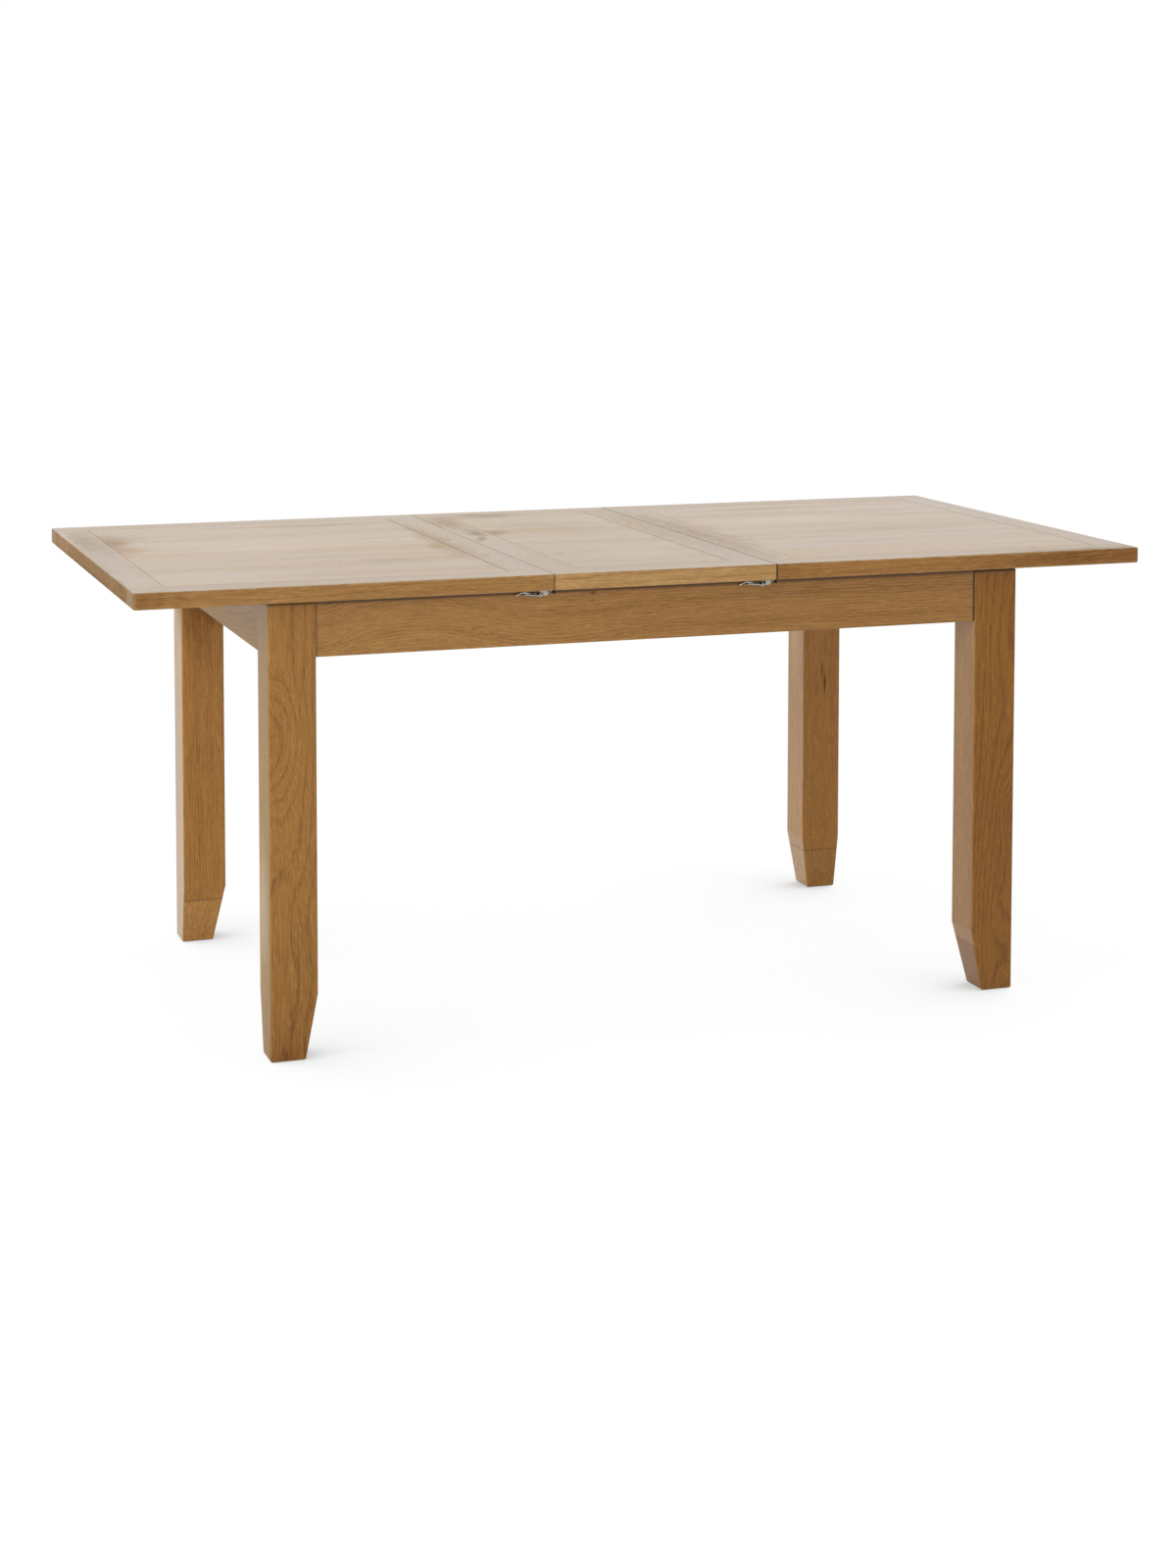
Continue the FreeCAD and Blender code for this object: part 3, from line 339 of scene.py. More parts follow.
@dataclass
class Board:
    """One oak board. Places and lengths are in millimetres, from its middle: along, across, deep."""

    node: str
    axes: str  # the frame's axes that run along, across and deep
    tone: tuple  # its colour
    seed: float
    pith: tuple = (40, 90)  # where the pith lies, across and deep
    lean: tuple = (0, 30)  # how it leans, in millimetres per metre
    ring: float = 4.0  # the width of a ring
    wave: float = 16.0  # how far the rings wander
    figure: float = 1.0  # how dark the early wood is
    rough: float = 0.26  # how matt it is
    relief: float = 0.1  # how strongly its grain stands out
    stave: float = 0.0  # the width of its staves, if it is glued up of them
    knots: tuple = ()  # (centre, size, push, dark): push bends the rings
    clouds: tuple = ()  # (centre, size, dark): a soft dark patch, or a light one below 0; some are stains, some painted shade and painted light
    groove_dirt_and_shade: tuple = ()  # dirt and painted shade in its rim groove: at the sides, the low end and the high end
    gap_shades: tuple = ()  # (side, dark, start, width): a line of painted shade in a gap, and how far inside the box it starts
    edge: float = 0.0  # how much its edges are rubbed, with a painted highlight
    painted_top_sheen: tuple = ()  # the tint of upward faces: painted sheen
    painted_side_light: tuple = ()  # the tint of faces that look along x: painted light and sheen
    foot: tuple = ()  # the ways that a leg's inner faces look, and the tint of its let-in foot

    def middle(self):
        low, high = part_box(self.node)
        return tuple((low + high) / 2)

    def half_size(self):
        """Half the length, width and depth, in metres."""
        low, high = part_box(self.node)
        half = (high - low) / 2
        return [half[AXES[axis]] for axis in self.axes]


def board_place(t, board):
    """The place along, across and deep in the board, in metres from its middle."""
    parts = t.split(t.vector("SUBTRACT", t.places(), board.middle()))
    return t.join(*(parts[AXES[axis]] for axis in board.axes))


def rubbed_and_highlit_edges(t, board, place):
    """1 on the long edges of a box-shaped board, in patches, and 0 away from them. It marks paler
    rubbed wear that is also a painted highlight.
    """
    low, high = (tuple(corner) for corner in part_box(board.node))
    point = t.places()
    from_low, from_high = t.vector("SUBTRACT", point, low), t.vector("SUBTRACT", high, point)
    x, y, z = t.split(t.vector("MINIMUM", from_low, from_high))
    farther = t.math("MINIMUM", t.math("MAXIMUM", x, y), z)
    # The middle one of the three distances is small only near an edge.
    middle = t.math("MAXIMUM", t.math("MINIMUM", x, y), farther)
    patches = t.ramp(t.noise(place, RUB_GRAIN, 3.0), *RUB_RANGE)
    return t.times(t.fade(middle, *ARRIS), patches)


def rim_dirt_and_shade(t, board, place):
    """Old polish and dirt where a board meets its neighbours, and painted shade in the groove there.
    """
    long, wide, _ = board.half_size()
    along, across, _ = t.split(place)
    sides, low_end, high_end = board.groove_dirt_and_shade
    from_side = t.math("SUBTRACT", wide, t.math("ABSOLUTE", across))
    from_low, from_high = t.math("ADD", along, long), t.math("SUBTRACT", long, along)
    return t.total(
        t.times(t.fade(from_side, *RIM_SIDE), sides),
        t.times(t.fade(from_low, *RIM_END), low_end),
        t.times(t.fade(from_high, *RIM_END), high_end),
    )


def painted_gap_shade(t, board, place):
    """Painted shade: dark lines in the gaps at a board's neighbours and under the top. The face that
    looks into a gap keeps its colour.
    """
    long, wide, _ = board.half_size()
    along, across, _ = t.split(place)
    normal = t.facing()
    lines = 0.0
    for side, dark, start, width in board.gap_shades:
        index = 0 if side.endswith("end") else 1
        value, half = (along, across)[index], (long, wide)[index]
        if side.startswith("low"):
            value = t.times(value, -1.0)
        inside = t.math("SUBTRACT", half - start * MM, value)
        line = t.fade(inside, GAP_CORE * width * MM, width * MM, dark)
        into = t.math("ABSOLUTE", normal[AXES[board.axes[index]]])
        lines = t.math("MAXIMUM", lines, t.times(line, t.fade(into, *GAP_FACE)))
    return lines


def spot(t, place, centre, size):
    """1 at a centre in the board, falling to 0 one size away."""
    offset = t.vector("SUBTRACT", place, tuple(c * MM for c in centre))
    scaled = t.vector("MULTIPLY", offset, tuple(1.0 / (s * MM) for s in size))
    return t.fade(t.vector("LENGTH", scaled), 0.0, 1.0)


def knot_marks(t, board, place):
    """(how far the knots push the rings out, how they stain)."""
    bulge = stain_and_shade = 0.0
    for centre, size, push, dark in board.knots:
        near = spot(t, place, centre, size)
        bulge = t.total(bulge, t.times(near, push * MM))
        if dark:
            ragged = t.ramp(t.noise(place, KNOT_GRAIN, 3.0, 0.6), *KNOT_RANGE)
            stain_and_shade = t.total(stain_and_shade, t.times(near, dark, ragged))
    return bulge, stain_and_shade


# Soft patches added to the stains: some are worn lacquer and stains, some are painted shade and
# painted light.
def add_clouds(t, board, place, stain_and_shade):
    reach = t.vector("MULTIPLY", t.drift(place, DRIFT_GRAIN), DRIFT_REACH)
    adrift = t.vector("ADD", place, reach)
    patchy = t.math("ADD", t.noise(place, CLOUD_GRAIN, 3.0, 0.6), 0.5)
    for centre, size, dark in board.clouds:
        stain_and_shade = t.total(stain_and_shade, t.times(spot(t, adrift, centre, size), dark, patchy))
    return stain_and_shade


def scaled_tone(tone, factor):
    return (*(factor * part for part in tone[:3]), 1.0)


def staves(t, board, place):
    """A panel glued up of staves, each from its own part of a log: (place in the log, tone)."""
    along, across, deep = t.split(place)
    width = board.stave * MM
    count = t.math("ADD", t.math("DIVIDE", across, width), 0.5)
    white = t.add("ShaderNodeTexWhiteNoise", noise_dimensions="1D")
    t.feed(white.inputs["W"], t.math("ADD", t.math("FLOOR", count), board.seed))
    pick = white.outputs["Value"]
    own = t.times(t.centred(t.math("FRACT", count)), width)
    moved = t.join(
        t.math("ADD", along, t.times(pick, STAVE_STEP)),
        t.math("ADD", own, t.times(t.centred(pick), STAVE_SHIFT)),
        t.math("ADD", deep, t.times(pick, STAVE_SINK)),
    )
    dark, pale = scaled_tone(board.tone, STAVE_DARK), scaled_tone(board.tone, STAVE_PALE)
    return moved, t.blend(pick, dark, pale)


def seam(t, ways):
    """(1 below the seam of a leg's two inner faces, 1 on it). Below it, a tapered foot is let in."""
    normal_x, normal_y, _ = t.facing()
    _, _, height = t.split(t.places())
    inner = t.math("MAXIMUM", t.times(normal_x, ways[0]), t.times(normal_y, ways[1]))
    inner = t.ramp(inner, *INNER_FACE)
    offset = t.math("SUBTRACT", height, SEAM_HEIGHT)
    below = t.times(inner, t.fade(offset, -SEAM_EDGE, SEAM_EDGE))
    line = t.times(inner, t.fade(t.math("ABSOLUTE", offset), *SEAM_WIDTH))
    return below, line


def sawn(t, board, wood, tone, bulge, stain_and_shade):
    """The oak group's outputs for a board cut at wood, a place in its log."""
    entries = {
        "Place": wood,
        "Pith": (board.pith[0] * MM, board.pith[1] * MM, 0.0),
        "Lean": (board.lean[0] * MM, board.lean[1] * MM, 0.0),
        "Seed": board.seed,
        "Ring": board.ring * MM,
        "Wave": board.wave * MM,
        "Bulge": bulge,
        "Stain": stain_and_shade,
        "Figure": board.figure,
        "Tone": tone,
    }
    return t.fill(t.add("ShaderNodeGroup", node_tree=OAK), entries).outputs


def rubbed_with_painted_light(t, board, place, colour, rough):
    """(colour, rough) of the bare wood after rubbing and light: a painted highlight on the rubbed
    edges, painted sheen on upward faces, and painted light and sheen on faces that look along x.
    """
    # Paler rubbed edges, also a painted highlight.
    if board.edge:
        colour = t.blend(t.times(rubbed_and_highlit_edges(t, board, place), board.edge), colour, RUBBED_AND_HIGHLIT)
    # Painted sheen on upward faces; their lower roughness is real.
    if board.painted_top_sheen:
        open_face = t.ramp(t.facing()[AXES["z"]], *TOP_FACE)
        colour = t.tinted(colour, open_face, board.painted_top_sheen)
        rough = t.math("SUBTRACT", rough, t.times(open_face, rough - TOP_ROUGH))
    # Painted light and sheen on faces that look along x.
    if board.painted_side_light:
        sideways = t.math("ABSOLUTE", t.facing()[AXES["x"]])
        colour = t.tinted(colour, t.ramp(sideways, *CHEEK_FACE), board.painted_side_light)
    return colour, rough


def oak(board):
    """The material of one board."""

    def paint(t):
        place = board_place(t, board)
        wood, tone = place, board.tone
        if board.stave:
            wood, tone = staves(t, board, place)
        if board.foot:
            ways, foot_tint = board.foot
            below, line = seam(t, ways)
            log = t.join(t.times(below, FOOT_STEP), t.times(below, FOOT_SHIFT), 0.0)
            wood = t.vector("ADD", place, log)
        bulge, stain_and_shade = knot_marks(t, board, place)
        stain_and_shade = add_clouds(t, board, place, stain_and_shade)
        # Dirt and painted shade in the rim groove.
        if board.groove_dirt_and_shade:
            stain_and_shade = t.total(stain_and_shade, rim_dirt_and_shade(t, board, place))
        bare = sawn(t, board, wood, tone, bulge, stain_and_shade)
        colour, rough = rubbed_with_painted_light(t, board, place, bare["Colour"], board.rough)
        if board.foot:
            colour = t.tinted(colour, below, foot_tint)
            colour = t.blend(t.times(line, SEAM_DARK), colour, SEAM_LINE)
        # Painted shade in the gaps and under the top.
        if board.gap_shades:
            colour = t.blend(painted_gap_shade(t, board, place), colour, GAP_SHADE)
        return {
            "Base Color": colour,
            "IOR": OAK_IOR,
            "Roughness": t.math("ADD", bare["Gloss"], rough),
            "Normal": t.bump(bare["Height"], OAK_DEPTH, board.relief),
        }

    return shaded("oak_" + board.node, paint)


# ---------------------------------------------------------------- the table's wood

GOLD = (0.300, 0.135, 0.022, 1.0)
PALE = (0.390, 0.215, 0.070, 1.0)
PANEL = (0.330, 0.147, 0.026, 1.0)
DEEP = (0.235, 0.090, 0.004, 1.0)
RAW = (0.470, 0.315, 0.165, 1.0)
# Painted sheen: tints of the top's upward faces.
PANEL_PAINTED_SHEEN = (1.04, 1.225, 1.28)
RAIL_PAINTED_SHEEN = (0.99, 1.175, 1.29)
LEAF_PAINTED_SHEEN = (0.80, 0.82, 0.66)
# Painted light and sheen on the top's faces that look along x.
END_PAINTED_LIGHT = (0.74, 0.87, 1.5)

BOARDS = {
    "leg_front_left": dict(
        axes="zxy",
        tone=(0.290, 0.130, 0.022, 1.0),
        seed=3.1,
        pith=(-30, 86),
        lean=(10, 24),
        ring=7.0,
        figure=1.2,
        rough=0.42,
        painted_side_light=(0.87, 1.01, 0.84),
        foot=((1, 1), (1.0, 1.0, 1.0)),
        knots=[((150, -62, -40), (150, 110, 110), -30, 0), ((-120, 10, -40), (150, 60, 90), 5, 0)],
        # Painted shade: the front face darkens towards the floor. Painted light: a lighter patch on
        # the lower left face.
        clouds=[
            ((-330, 0, -40), (320, 80, 90), 0.20),
            ((-381, 0, -40), (110, 60, 60), 0.40),
            ((-140, -40, 10), (190, 30, 60), -0.42),
        ],
        # Painted shade under the table top, along the leg's top end.
        gap_shades=[("high_end", 0.6, 0, 6)],
    ),
    "leg_front_right": dict(
        axes="zxy",
        tone=DEEP,
        seed=8.7,
        pith=(60, 84),
        lean=(10, -36),
        wave=18,
        ring=5.2,
        figure=1.3,
        rough=0.15,
        painted_side_light=(1.34, 1.74, 9.0),
        foot=((-1, 1), (0.70, 0.56, 0.20)),
        knots=[
            ((-58, 52, -40), (90, 60, 90), -15, 0),
            ((130, 60, -40), (220, 80, 90), 12, 0),
            ((-320, 34, -40), (130, 50, 90), 13, 0),
        ],
        clouds=[((-60, 0, -40), (330, 90, 90), 0.16)],
        # Painted shade under the table top, along the leg's top end.
        gap_shades=[("high_end", 0.8, 0, 7)],
    ),
    "leg_back_left": dict(
        axes="zxy",
        tone=(0.350, 0.155, 0.024, 1.0),
        seed=14.2,
        pith=(120, 60),
        lean=(4, 8),
        wave=6,
        rough=0.17,
        painted_side_light=(0.98, 1.12, 0.98),
        foot=((1, -1), (1.16, 1.24, 1.75)),
        # Painted shade: the top of the front face darkens under the table top. It is also darker at
        # the foot.
        clouds=[((380, 0, -40), (260, 80, 90), 1.7), ((-381, 0, -40), (70, 60, 60), 0.25)],
    ),
    "leg_back_right": dict(
        axes="zxy",
        tone=(0.312, 0.132, 0.015, 1.0),
        seed=21.9,
        pith=(-110, 60),
        lean=(4, 10),
        wave=8,
        rough=0.14,
        painted_side_light=(1.40, 1.74, 4.6),
        foot=((-1, -1), (0.94, 0.98, 1.1)),
        knots=[
            ((74, 1, -40), (34, 4, 30), 0, 2.6),
            ((48, 7, -40), (30, 4, 30), 0, 2.2),
            ((40, -12, -40), (40, 3, 30), 0, 1.2),
            ((-66, 20, -40), (22, 4, 30), 0, 2.0),
        ],
        # Painted light: the upper left face and the upper front face are lighter.
        clouds=[((240, -40, 0), (240, 30, 60), -1.0), ((200, 0, -40), (150, 60, 50), -0.35)],
    ),
    "apron_front": dict(
        axes="xzy",
        tone=(0.300, 0.142, 0.032, 1.0),
        seed=33.3,
        pith=(-120, 60),
        lean=(6, 10),
        ring=4.8,
        wave=7,
        knots=[
            ((-415, 0, -10), (210, 400, 400), -15, 0),
            ((-178, 0, -10), (230, 400, 400), 11, 0),
            ((-118, 37, -11), (10, 7, 20), 4, 0.9),
            ((-119, 25, -11), (7, 4, 20), 2, 0.6),
            ((-585, 10, -11), (70, 70, 60), 14, 0.1),
        ],
        # Painted light and shade: lighter towards the left end and darker towards the right, as the
        # light falls off.
        clouds=[((-350, 0, -11), (560, 240, 100), -0.14), ((420, 0, -11), (260, 240, 100), 0.10)],
        # Painted shade: under the top along the apron's upper side, and where it meets the legs.
        gap_shades=[("high_side", 0.8, 0, 7), ("high_end", 0.95, 25, 5), ("low_end", 0.35, 25, 4)],
    ),
    "apron_back": dict(axes="xzy", tone=GOLD, seed=39.4, pith=(30, -90), lean=(-30, 30), wave=20),
    "apron_left": dict(
        axes="yzx",
        tone=(0.238, 0.1225, 0.0242, 1.0),
        seed=44.5,
        pith=(20, 80),
        lean=(30, 40),
        wave=12,
        rough=0.42,
    ),
    "apron_right": dict(axes="yzx", tone=GOLD, seed=47.1, pith=(-40, -80), lean=(30, -40), wave=20),
}

BORDER = dict(tone=GOLD, wave=8, relief=0.04, edge=0.25, painted_top_sheen=RAIL_PAINTED_SHEEN, painted_side_light=END_PAINTED_LIGHT)
STILE = dict(BORDER, axes="xyz", figure=0.6, rough=0.5)
RAIL = dict(BORDER, axes="yxz", rough=0.72)
LEAF_STILE = dict(axes="xyz", tone=PALE, wave=8, rough=0.5, relief=0.04, painted_top_sheen=LEAF_PAINTED_SHEEN)
INFILL = dict(
    axes="xyz",
    tone=PANEL,
    pith=(0, -90),
    lean=(20, 10),
    stave=74.0,
    figure=0.7,
    rough=0.5,
    relief=0.04,
    groove_dirt_and_shade=(0.7, 0.4, 0.4),
    painted_top_sheen=PANEL_PAINTED_SHEEN,
)
LEAF_INFILL = dict(INFILL, tone=(0.312, 0.142, 0.020, 1.0), groove_dirt_and_shade=(0.7, 0.05, 0.15))
FRONT_WOOD = {
    "left": dict(
        tone=(0.300, 0.148, 0.036, 1.0), painted_top_sheen=(0.99, 1.07, 0.79), painted_side_light=(0.74, 0.79, 0.92)
    ),
    "right": dict(
        tone=(0.300, 0.138, 0.031, 1.0), painted_top_sheen=(0.99, 1.15, 0.92), painted_side_light=(0.74, 0.85, 1.06)
    ),
}

for side, seed in (("left", 52.0), ("right", 61.0)):
    front = dict(STILE, **FRONT_WOOD[side])
    BOARDS[side + "_stile_front"] = dict(front, seed=seed, pith=(90, -60), lean=(14, 12))
    BOARDS[side + "_stile_back"] = dict(STILE, seed=seed + 1.7, pith=(-80, -60), lean=(16, 20))
    BOARDS[side + "_rail_left"] = dict(RAIL, seed=seed + 3.1, pith=(10, -60), lean=(20, 60))
    BOARDS[side + "_rail_right"] = dict(RAIL, seed=seed + 4.9, pith=(-20, -70), lean=(20, -50))
    BOARDS[side + "_panel"] = dict(INFILL, seed=seed + 6.3)
BOARDS["leaf_stile_front"] = dict(LEAF_STILE, seed=72.0, pith=(90, -30), lean=(10, 12))
BOARDS["leaf_stile_back"] = dict(LEAF_STILE, seed=73.3, pith=(-80, -60), lean=(10, 20))
BOARDS["leaf_rail_left"] = dict(RAIL, seed=75.2, pith=(6, -40), lean=(10, 80))
BOARDS["leaf_rail_right"] = dict(RAIL, seed=77.8, pith=(-20, -60), lean=(10, -50))
BOARDS["leaf_panel"] = dict(LEAF_INFILL, seed=79.1)

# The soft stains and pale patches of the top. The stains are duller, browner worn lacquer.
# The pale patches are glossier and also lighter in colour, a painted sheen.
TOP_CLOUDS = {
    "left_panel": [
        ((-290, 150, 10), (60, 200, 60), 0.32),
        ((-262, 215, 10), (70, 120, 60), 0.22),
        ((-60, 60, 10), (260, 170, 60), -0.14),
        ((-230, -310, 10), (240, 110, 60), -0.22),
        ((110, 330, 10), (160, 50, 60), 0.12),
        ((190, -190, 10), (200, 60, 60), 0.14),
        ((285, 0, 10), (36, 420, 60), 0.22),
    ],
    "left_rail_left": [
        ((0, -30, -14), (900, 24, 12), 0.5),
        ((190, 10, 10), (260, 60, 60), 0.20),
        ((-330, 0, 10), (200, 60, 60), -0.15),
        ((-330, -30, 0), (330, 14, 40), 0.26),
        ((300, -30, 0), (160, 14, 40), -0.34),
    ],
    "left_rail_right": [((0, -30, 10), (460, 34, 60), 0.24)],
    "leaf_rail_left": [
        ((120, 6, 10), (90, 30, 60), 0.50),
        ((40, -12, 10), (50, 18, 60), 0.40),
        ((300, 0, 10), (180, 60, 60), 0.24),
    ],
    "leaf_panel": [
        ((-134, 110, 10), (40, 60, 60), 0.30),
        ((0, 150, 10), (240, 160, 60), 0.14),
        ((-70, 372, 10), (110, 26, 60), 0.40),
        ((40, -250, 10), (160, 110, 60), -0.12),
        ((-105, -205, 10), (9, 8, 60), 0.7),
    ],
    "leaf_stile_back": [((-70, -22, 10), (110, 14, 60), 0.5)],
    "leaf_rail_right": [((0, 0, 10), (460, 50, 60), 0.10)],
    "right_rail_left": [((0, 0, 10), (460, 50, 60), 0.20)],
    "right_panel": [
        ((-100, 150, 10), (220, 60, 60), -0.16),
        ((-60, 330, 10), (120, 30, 60), 0.16),
        ((60, -60, 10), (260, 60, 60), 0.10),
        ((-285, 0, 10), (30, 420, 60), 0.12),
    ],
    "left_stile_front": [
        ((-60, -30, 0), (600, 26, 30), 0.16),
        ((-380, -30, 0), (220, 14, 30), 0.50),
    ],
    "right_stile_front": [
        # Painted shade: darker towards the right end, where less light falls.
        ((320, -30, 0), (330, 50, 50), 0.42),
        ((200, -30, 0), (260, 14, 30), 0.22),
        ((-350, -30, 0), (140, 14, 30), 0.35),
    ],
}
for name, patches in TOP_CLOUDS.items():
    BOARDS[name]["clouds"] = patches

# The side of each board that lies at a joint of the top, and how dark the painted shade in the joint
# is there. The leaf's stiles reach a joint at both ends.
JOINT_WIDTH, LEAF_END_DARK = 2.6, 0.7
TOP_JOINTS = {
    "left_stile": ("high_end", 0.55),
    "leaf_stile": ("low_end", 0.45),
    "left_rail_right": ("high_side", 0.30),
    "leaf_rail_left": ("low_side", 0.20),
    "leaf_rail_right": ("high_side", 0.6),
    "right_rail_left": ("low_side", 1.0),
    "right_stile": ("low_end", 1.0),
}
for start, (side, dark) in TOP_JOINTS.items():
    for name in BOARDS:
        if name.startswith(start):
            BOARDS[name]["gap_shades"] = [(side, dark, 0, JOINT_WIDTH)]
for name in ("leaf_stile_front", "leaf_stile_back"):
    BOARDS[name]["gap_shades"].append(("high_end", LEAF_END_DARK, 0, JOINT_WIDTH))

# The boards inside, with their axes. Their pith leans one way as much as it moves the other.
INNER = {
    "bearer_left": "yxz",
    "bearer_right": "yxz",
    "corner_blocks": "zxy",
    "inner_guide_back": "xyz",
    "inner_guide_front": "xyz",
    "outer_guide_back": "xyz",
    "outer_guide_front": "xyz",
    "left_runner_back": "xyz",
    "left_runner_front": "xyz",
    "right_runner_back": "xyz",
    "right_runner_front": "xyz",
    "left_stop_blocks": "zxy",
    "right_stop_blocks": "zxy",
}
INNER_SEED, INNER_SEED_STEP = 90.0, 2.3
INNER_PITH, INNER_DEPTH = 60, 90
INNER_TILTS = (30, 19, 8, -3, -14)


def inner_board(count, node, axes):
    tilt = INNER_TILTS[count % len(INNER_TILTS)]
    seed = INNER_SEED + INNER_SEED_STEP * count
    pith = (INNER_PITH - tilt, INNER_DEPTH)
    return Board(node, axes, RAW, seed, pith, lean=(8, tilt), rough=0.62)


def finish_wood():
    boards = [Board(node, **settings) for node, settings in BOARDS.items()]
    boards += [inner_board(count, *entry) for count, entry in enumerate(INNER.items())]
    for board in boards:
        dress(board.node, oak(board))


# ---------------------------------------------------------------- fittings

GRIT_GRAIN, GRIT_DEPTH, GRIT_BUMP = 2600.0, 0.0001, 0.3
SCRATCH_GRAIN, SCRATCH_DEPTH, SCRATCH_BUMP = (300.0, 4200.0, 900.0), 0.00005, 0.4


def bright_metal(t):
    place = t.places()
    cloud = t.noise(place, 160.0, 3.0)
    scratch = t.noise(place, SCRATCH_GRAIN, 2.0, 0.6)
    wear = t.ramp(scratch, 0.56, 0.7)
    dark, pale = (0.30, 0.285, 0.255, 1.0), (0.50, 0.485, 0.445, 1.0)
    return {
        "Base Color": t.blend(t.ramp(cloud, 0.3, 0.7), dark, pale),
        "Metallic": 1.0,
        "Roughness": t.total(0.16, t.times(cloud, 0.12), t.times(wear, 0.12)),
        "Normal": t.bump(scratch, SCRATCH_DEPTH, SCRATCH_BUMP),
    }


def gritty_metal(dark, pale, rough, grit_rough, cloud_noise, cloud_range):
    """A dull metal, cloudy from dark to pale. cloud_noise is its grain, detail and roughness."""

    def paint(t):
        place = t.places()
        cloud = t.noise(place, *cloud_noise)
        grit = t.noise(place, GRIT_GRAIN)
        return {
            "Base Color": t.blend(t.ramp(cloud, *cloud_range), dark, pale),
            "Metallic": 1.0,
            "Roughness": t.total(rough, t.times(cloud, 0.14), t.times(grit, grit_rough)),
            "Normal": t.bump(grit, GRIT_DEPTH, GRIT_BUMP),
        }

    return paint


def nylon(t):
    place = t.places()
    grit = t.noise(place, 1800.0)
    rubbed = t.ramp(t.noise(place, (40.0, 300.0, 300.0)), 0.5, 0.68)
    dark, pale = (0.56, 0.54, 0.48, 1.0), (0.72, 0.70, 0.64, 1.0)
    clean = t.blend(t.noise(place, 60.0, 3.0), dark, pale)
    return {
        "Base Color": t.blend(t.times(rubbed, 0.3), clean, (0.36, 0.33, 0.28, 1.0)),
        "Roughness": t.total(0.38, t.times(grit, 0.14), t.times(rubbed, 0.1)),
        "Normal": t.bump(grit, GRIT_DEPTH, GRIT_BUMP),
    }


FITTINGS = {
    "bright_metal": bright_metal,
    "dull_metal": gritty_metal(
        dark=(0.09, 0.075, 0.06, 1.0),
        pale=(0.19, 0.165, 0.135, 1.0),
        rough=0.34,
        grit_rough=0.1,
        cloud_noise=(140.0, 3.0, 0.5),
        cloud_range=(0.3, 0.7),
    ),
    "zinc_steel": gritty_metal(
        dark=(0.42, 0.44, 0.46, 1.0),
        pale=(0.66, 0.64, 0.56, 1.0),
        rough=0.28,
        grit_rough=0.12,
        cloud_noise=(90.0, 4.0, 0.6),
        cloud_range=(0.35, 0.65),
    ),
    "nylon": nylon,
}


def finish_fittings():
    made = {slot: shaded(slot, paint) for slot, paint in FITTINGS.items()}
    for part in frame["record"]["subparts"]:
        slot = part["material_slot"]
        # The strikes take the dark dull metal: painted shade, so that they sink into the shade under
        # the top.
        if part["node"].endswith("_strikes"):
            slot = "dull_metal"
        if slot in made:
            dress(part["node"], made[slot])


# ---------------------------------------------------------------- studio

WHITE = (1.0, 1.0, 1.0, 1.0)
WORLD_STRENGTH = 0.62
FLOOR_REACH = 30.0
FLOOR_LIT = (0.8, 0.8, 0.8, 1.0)  # what the floor throws back onto the table
FLOOR_SHOWN = (0.1, 0.1, 0.1, 1.0)  # what takes the lamps' shadows, under the floor's own glow
FLOOR_WHITE_RANGE = (2.0, 5.0)  # where the floor turns wholly white, in metres from its middle
NOOK_DISTANCE, NOOK_RANGE = 0.45, (0.10, 0.98)
NOOK_LEAN = 1.3  # how much the contact shadow leans outwards, per metre along x
FLOOR_GLOW = (0.50, 0.93)  # in the nooks, and in the open

# Each lamp's place, what it looks at, its width, its height and its watts.
SOFTBOXES = {
    "side": ((-6.0, -1.6, 1.9), (0.0, 0.0, 0.4), 3.6, 3.0, 165.0),
    "front": ((-2.2, -7.0, 1.7), (0.0, 0.0, 0.4), 4.0, 3.0, 130.0),
    "fill": ((6.0, 3.6, 2.0), (0.0, 0.0, 0.4), 3.6, 3.0, 70.0),
    "top": ((0.0, 0.6, 3.6), (0.0, 0.0, 0.8), 3.2, 2.4, 22.0),
}


def seen_rays(t):
    """1 for rays that show a thing itself: the camera's, and those off gloss or through glass."""
    rays = t.add("ShaderNodeLightPath").outputs
    indirect = t.math("MAXIMUM", rays["Is Glossy Ray"], rays["Is Transmission Ray"])
    return t.math("MAXIMUM", rays["Is Camera Ray"], indirect)


def link(thing):
    bpy.context.scene.collection.objects.link(thing)


def floor_material():
    """White to the camera, but for the contact shadow, and plain grey to the light."""
    material, t = new_material("floor")
    across, _, _ = t.split(t.places())
    nook = t.add("ShaderNodeAmbientOcclusion", samples=8)
    leaning = t.vector("NORMALIZE", t.join(t.times(across, NOOK_LEAN), 0.0, 1.0))
    t.fill(nook, {"Distance": NOOK_DISTANCE, "Normal": leaning})
    strength = t.ramp(nook.outputs["AO"], *NOOK_RANGE, *FLOOR_GLOW)
    both = t.add("ShaderNodeAddShader")
    shown = t.shader("ShaderNodeBsdfDiffuse", Color=FLOOR_SHOWN)
    t.line_up(both, shown, t.shader("ShaderNodeEmission", Strength=strength))
    white = t.shader("ShaderNodeEmission", Strength=1.0)
    far = t.ramp(t.vector("LENGTH", t.places()), *FLOOR_WHITE_RANGE)
    lit = t.shader("ShaderNodeBsdfDiffuse", Color=FLOOR_LIT)
    t.end_in(t.either(seen_rays(t), lit, t.either(far, both.outputs[0], white)))
    return material


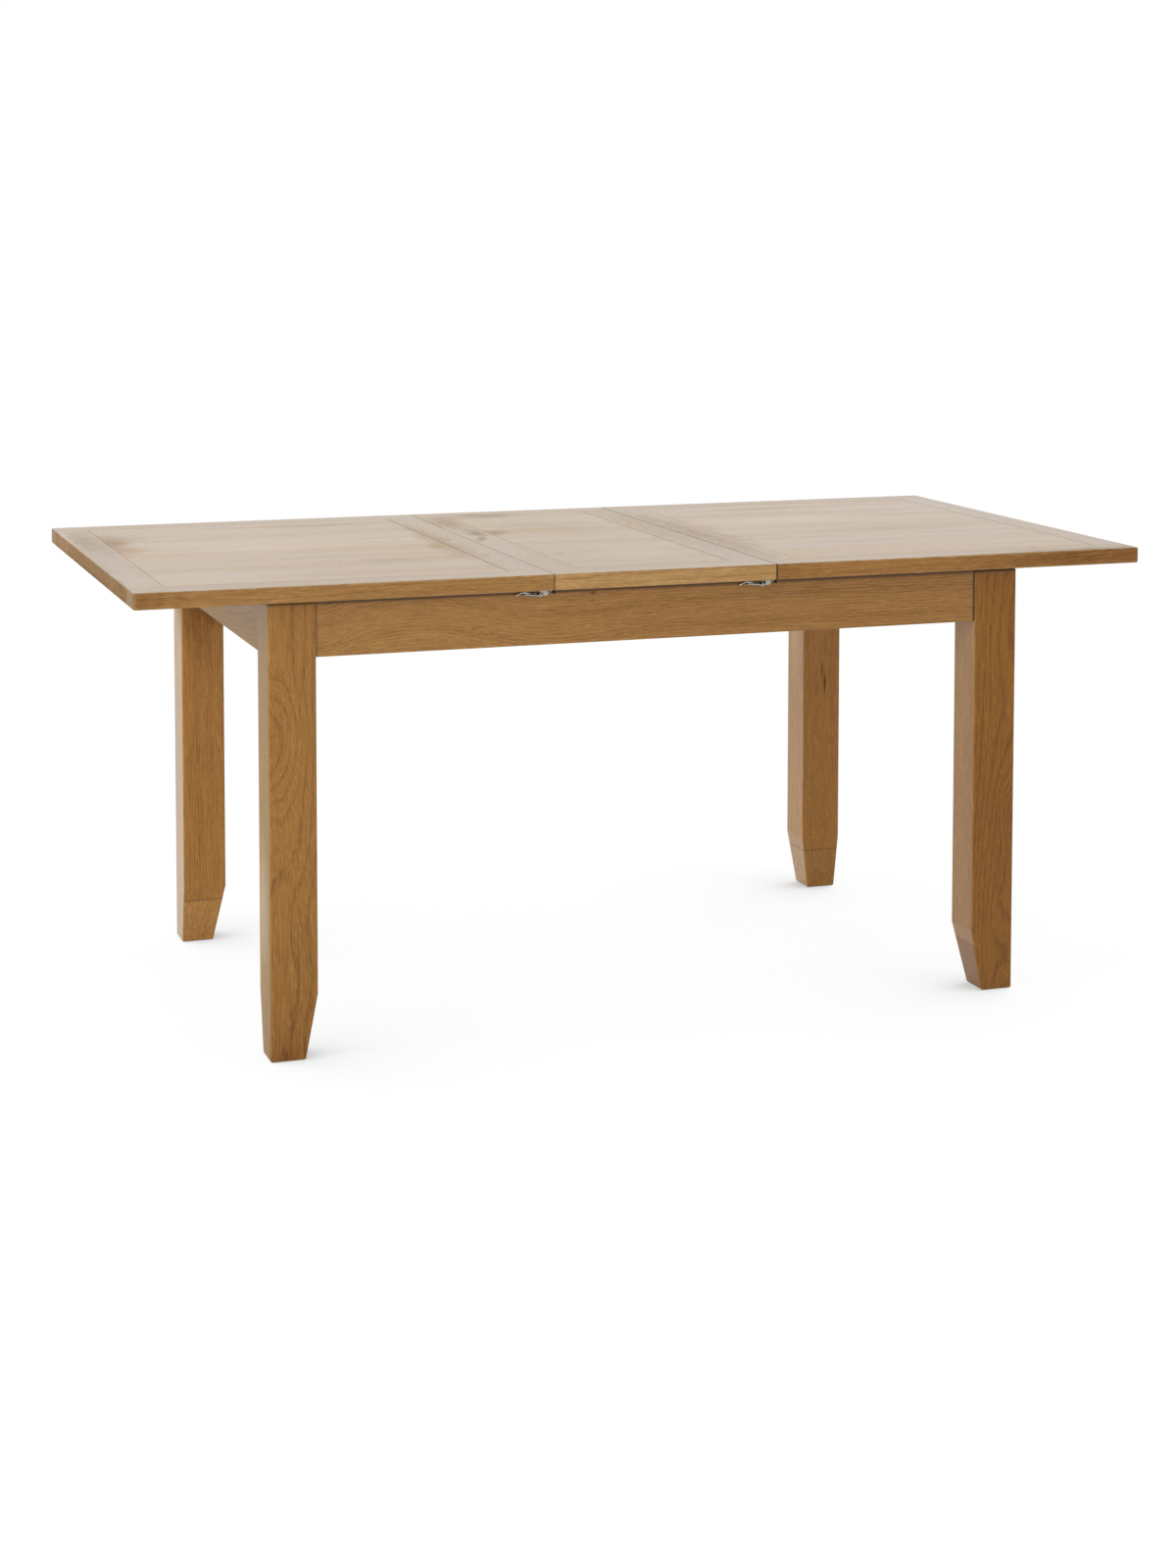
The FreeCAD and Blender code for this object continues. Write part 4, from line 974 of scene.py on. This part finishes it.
def studio_floor():
    reach = FLOOR_REACH
    corners = [(-reach, -reach, 0), (reach, -reach, 0), (reach, reach, 0), (-reach, reach, 0)]
    mesh = bpy.data.meshes.new("floor")
    mesh.from_pydata(corners, [], [(0, 1, 2, 3)])
    mesh.materials.append(floor_material())
    floor = bpy.data.objects.new("floor", mesh)
    link(floor)


def studio_world():
    world = bpy.data.worlds.new("studio")
    bpy.context.scene.world = world
    world.use_nodes = True
    t = Tree(world.node_tree)
    lamp = t.shader("ShaderNodeBackground", Color=WHITE, Strength=WORLD_STRENGTH)
    white = t.shader("ShaderNodeBackground", Color=WHITE, Strength=1.0)
    t.end_in(t.either(seen_rays(t), lamp, white), "ShaderNodeOutputWorld")


def softbox(name, place, aim, width, height, watts):
    data = bpy.data.lights.new(name, "AREA")
    data.shape = "RECTANGLE"
    data.size, data.size_y = width, height
    data.energy = watts
    lamp = bpy.data.objects.new(name, data)
    link(lamp)
    lamp.location = place
    lamp.rotation_mode = "QUATERNION"
    lamp.rotation_quaternion = (Vector(aim) - Vector(place)).to_track_quat("-Z", "Y")


def studio_lights():
    for name, settings in SOFTBOXES.items():
        softbox(name, *settings)


# ---------------------------------------------------------------- camera

PHOTO_WIDTH, PHOTO_HEIGHT = 1200.0, 1600.0
FOCAL_PIXELS = 2773.0
OPTICAL_CENTRE = (560.0, 400.0)
SENSOR = 36.0
CAMERA_PLACE = (-1.6228, -4.6846, 1.4123)
DOWN, RIGHT = 4.09, 18.45  # degrees from the level look along +Y


def photo_camera():
    data = bpy.data.cameras.new("camera")
    data.sensor_width = SENSOR
    data.lens = SENSOR * FOCAL_PIXELS / PHOTO_HEIGHT
    data.shift_x = (PHOTO_WIDTH / 2 - OPTICAL_CENTRE[0]) / PHOTO_HEIGHT
    data.shift_y = (OPTICAL_CENTRE[1] - PHOTO_HEIGHT / 2) / PHOTO_HEIGHT
    camera = bpy.data.objects.new("camera", data)
    link(camera)
    camera.location = CAMERA_PLACE
    camera.rotation_euler = (math.radians(90.0 - DOWN), 0.0, math.radians(-RIGHT))
    bpy.context.scene.camera = camera


finish_wood()
finish_fittings()
studio_floor()
studio_world()
studio_lights()
photo_camera()
bpy.context.scene.view_settings.view_transform = "Standard"
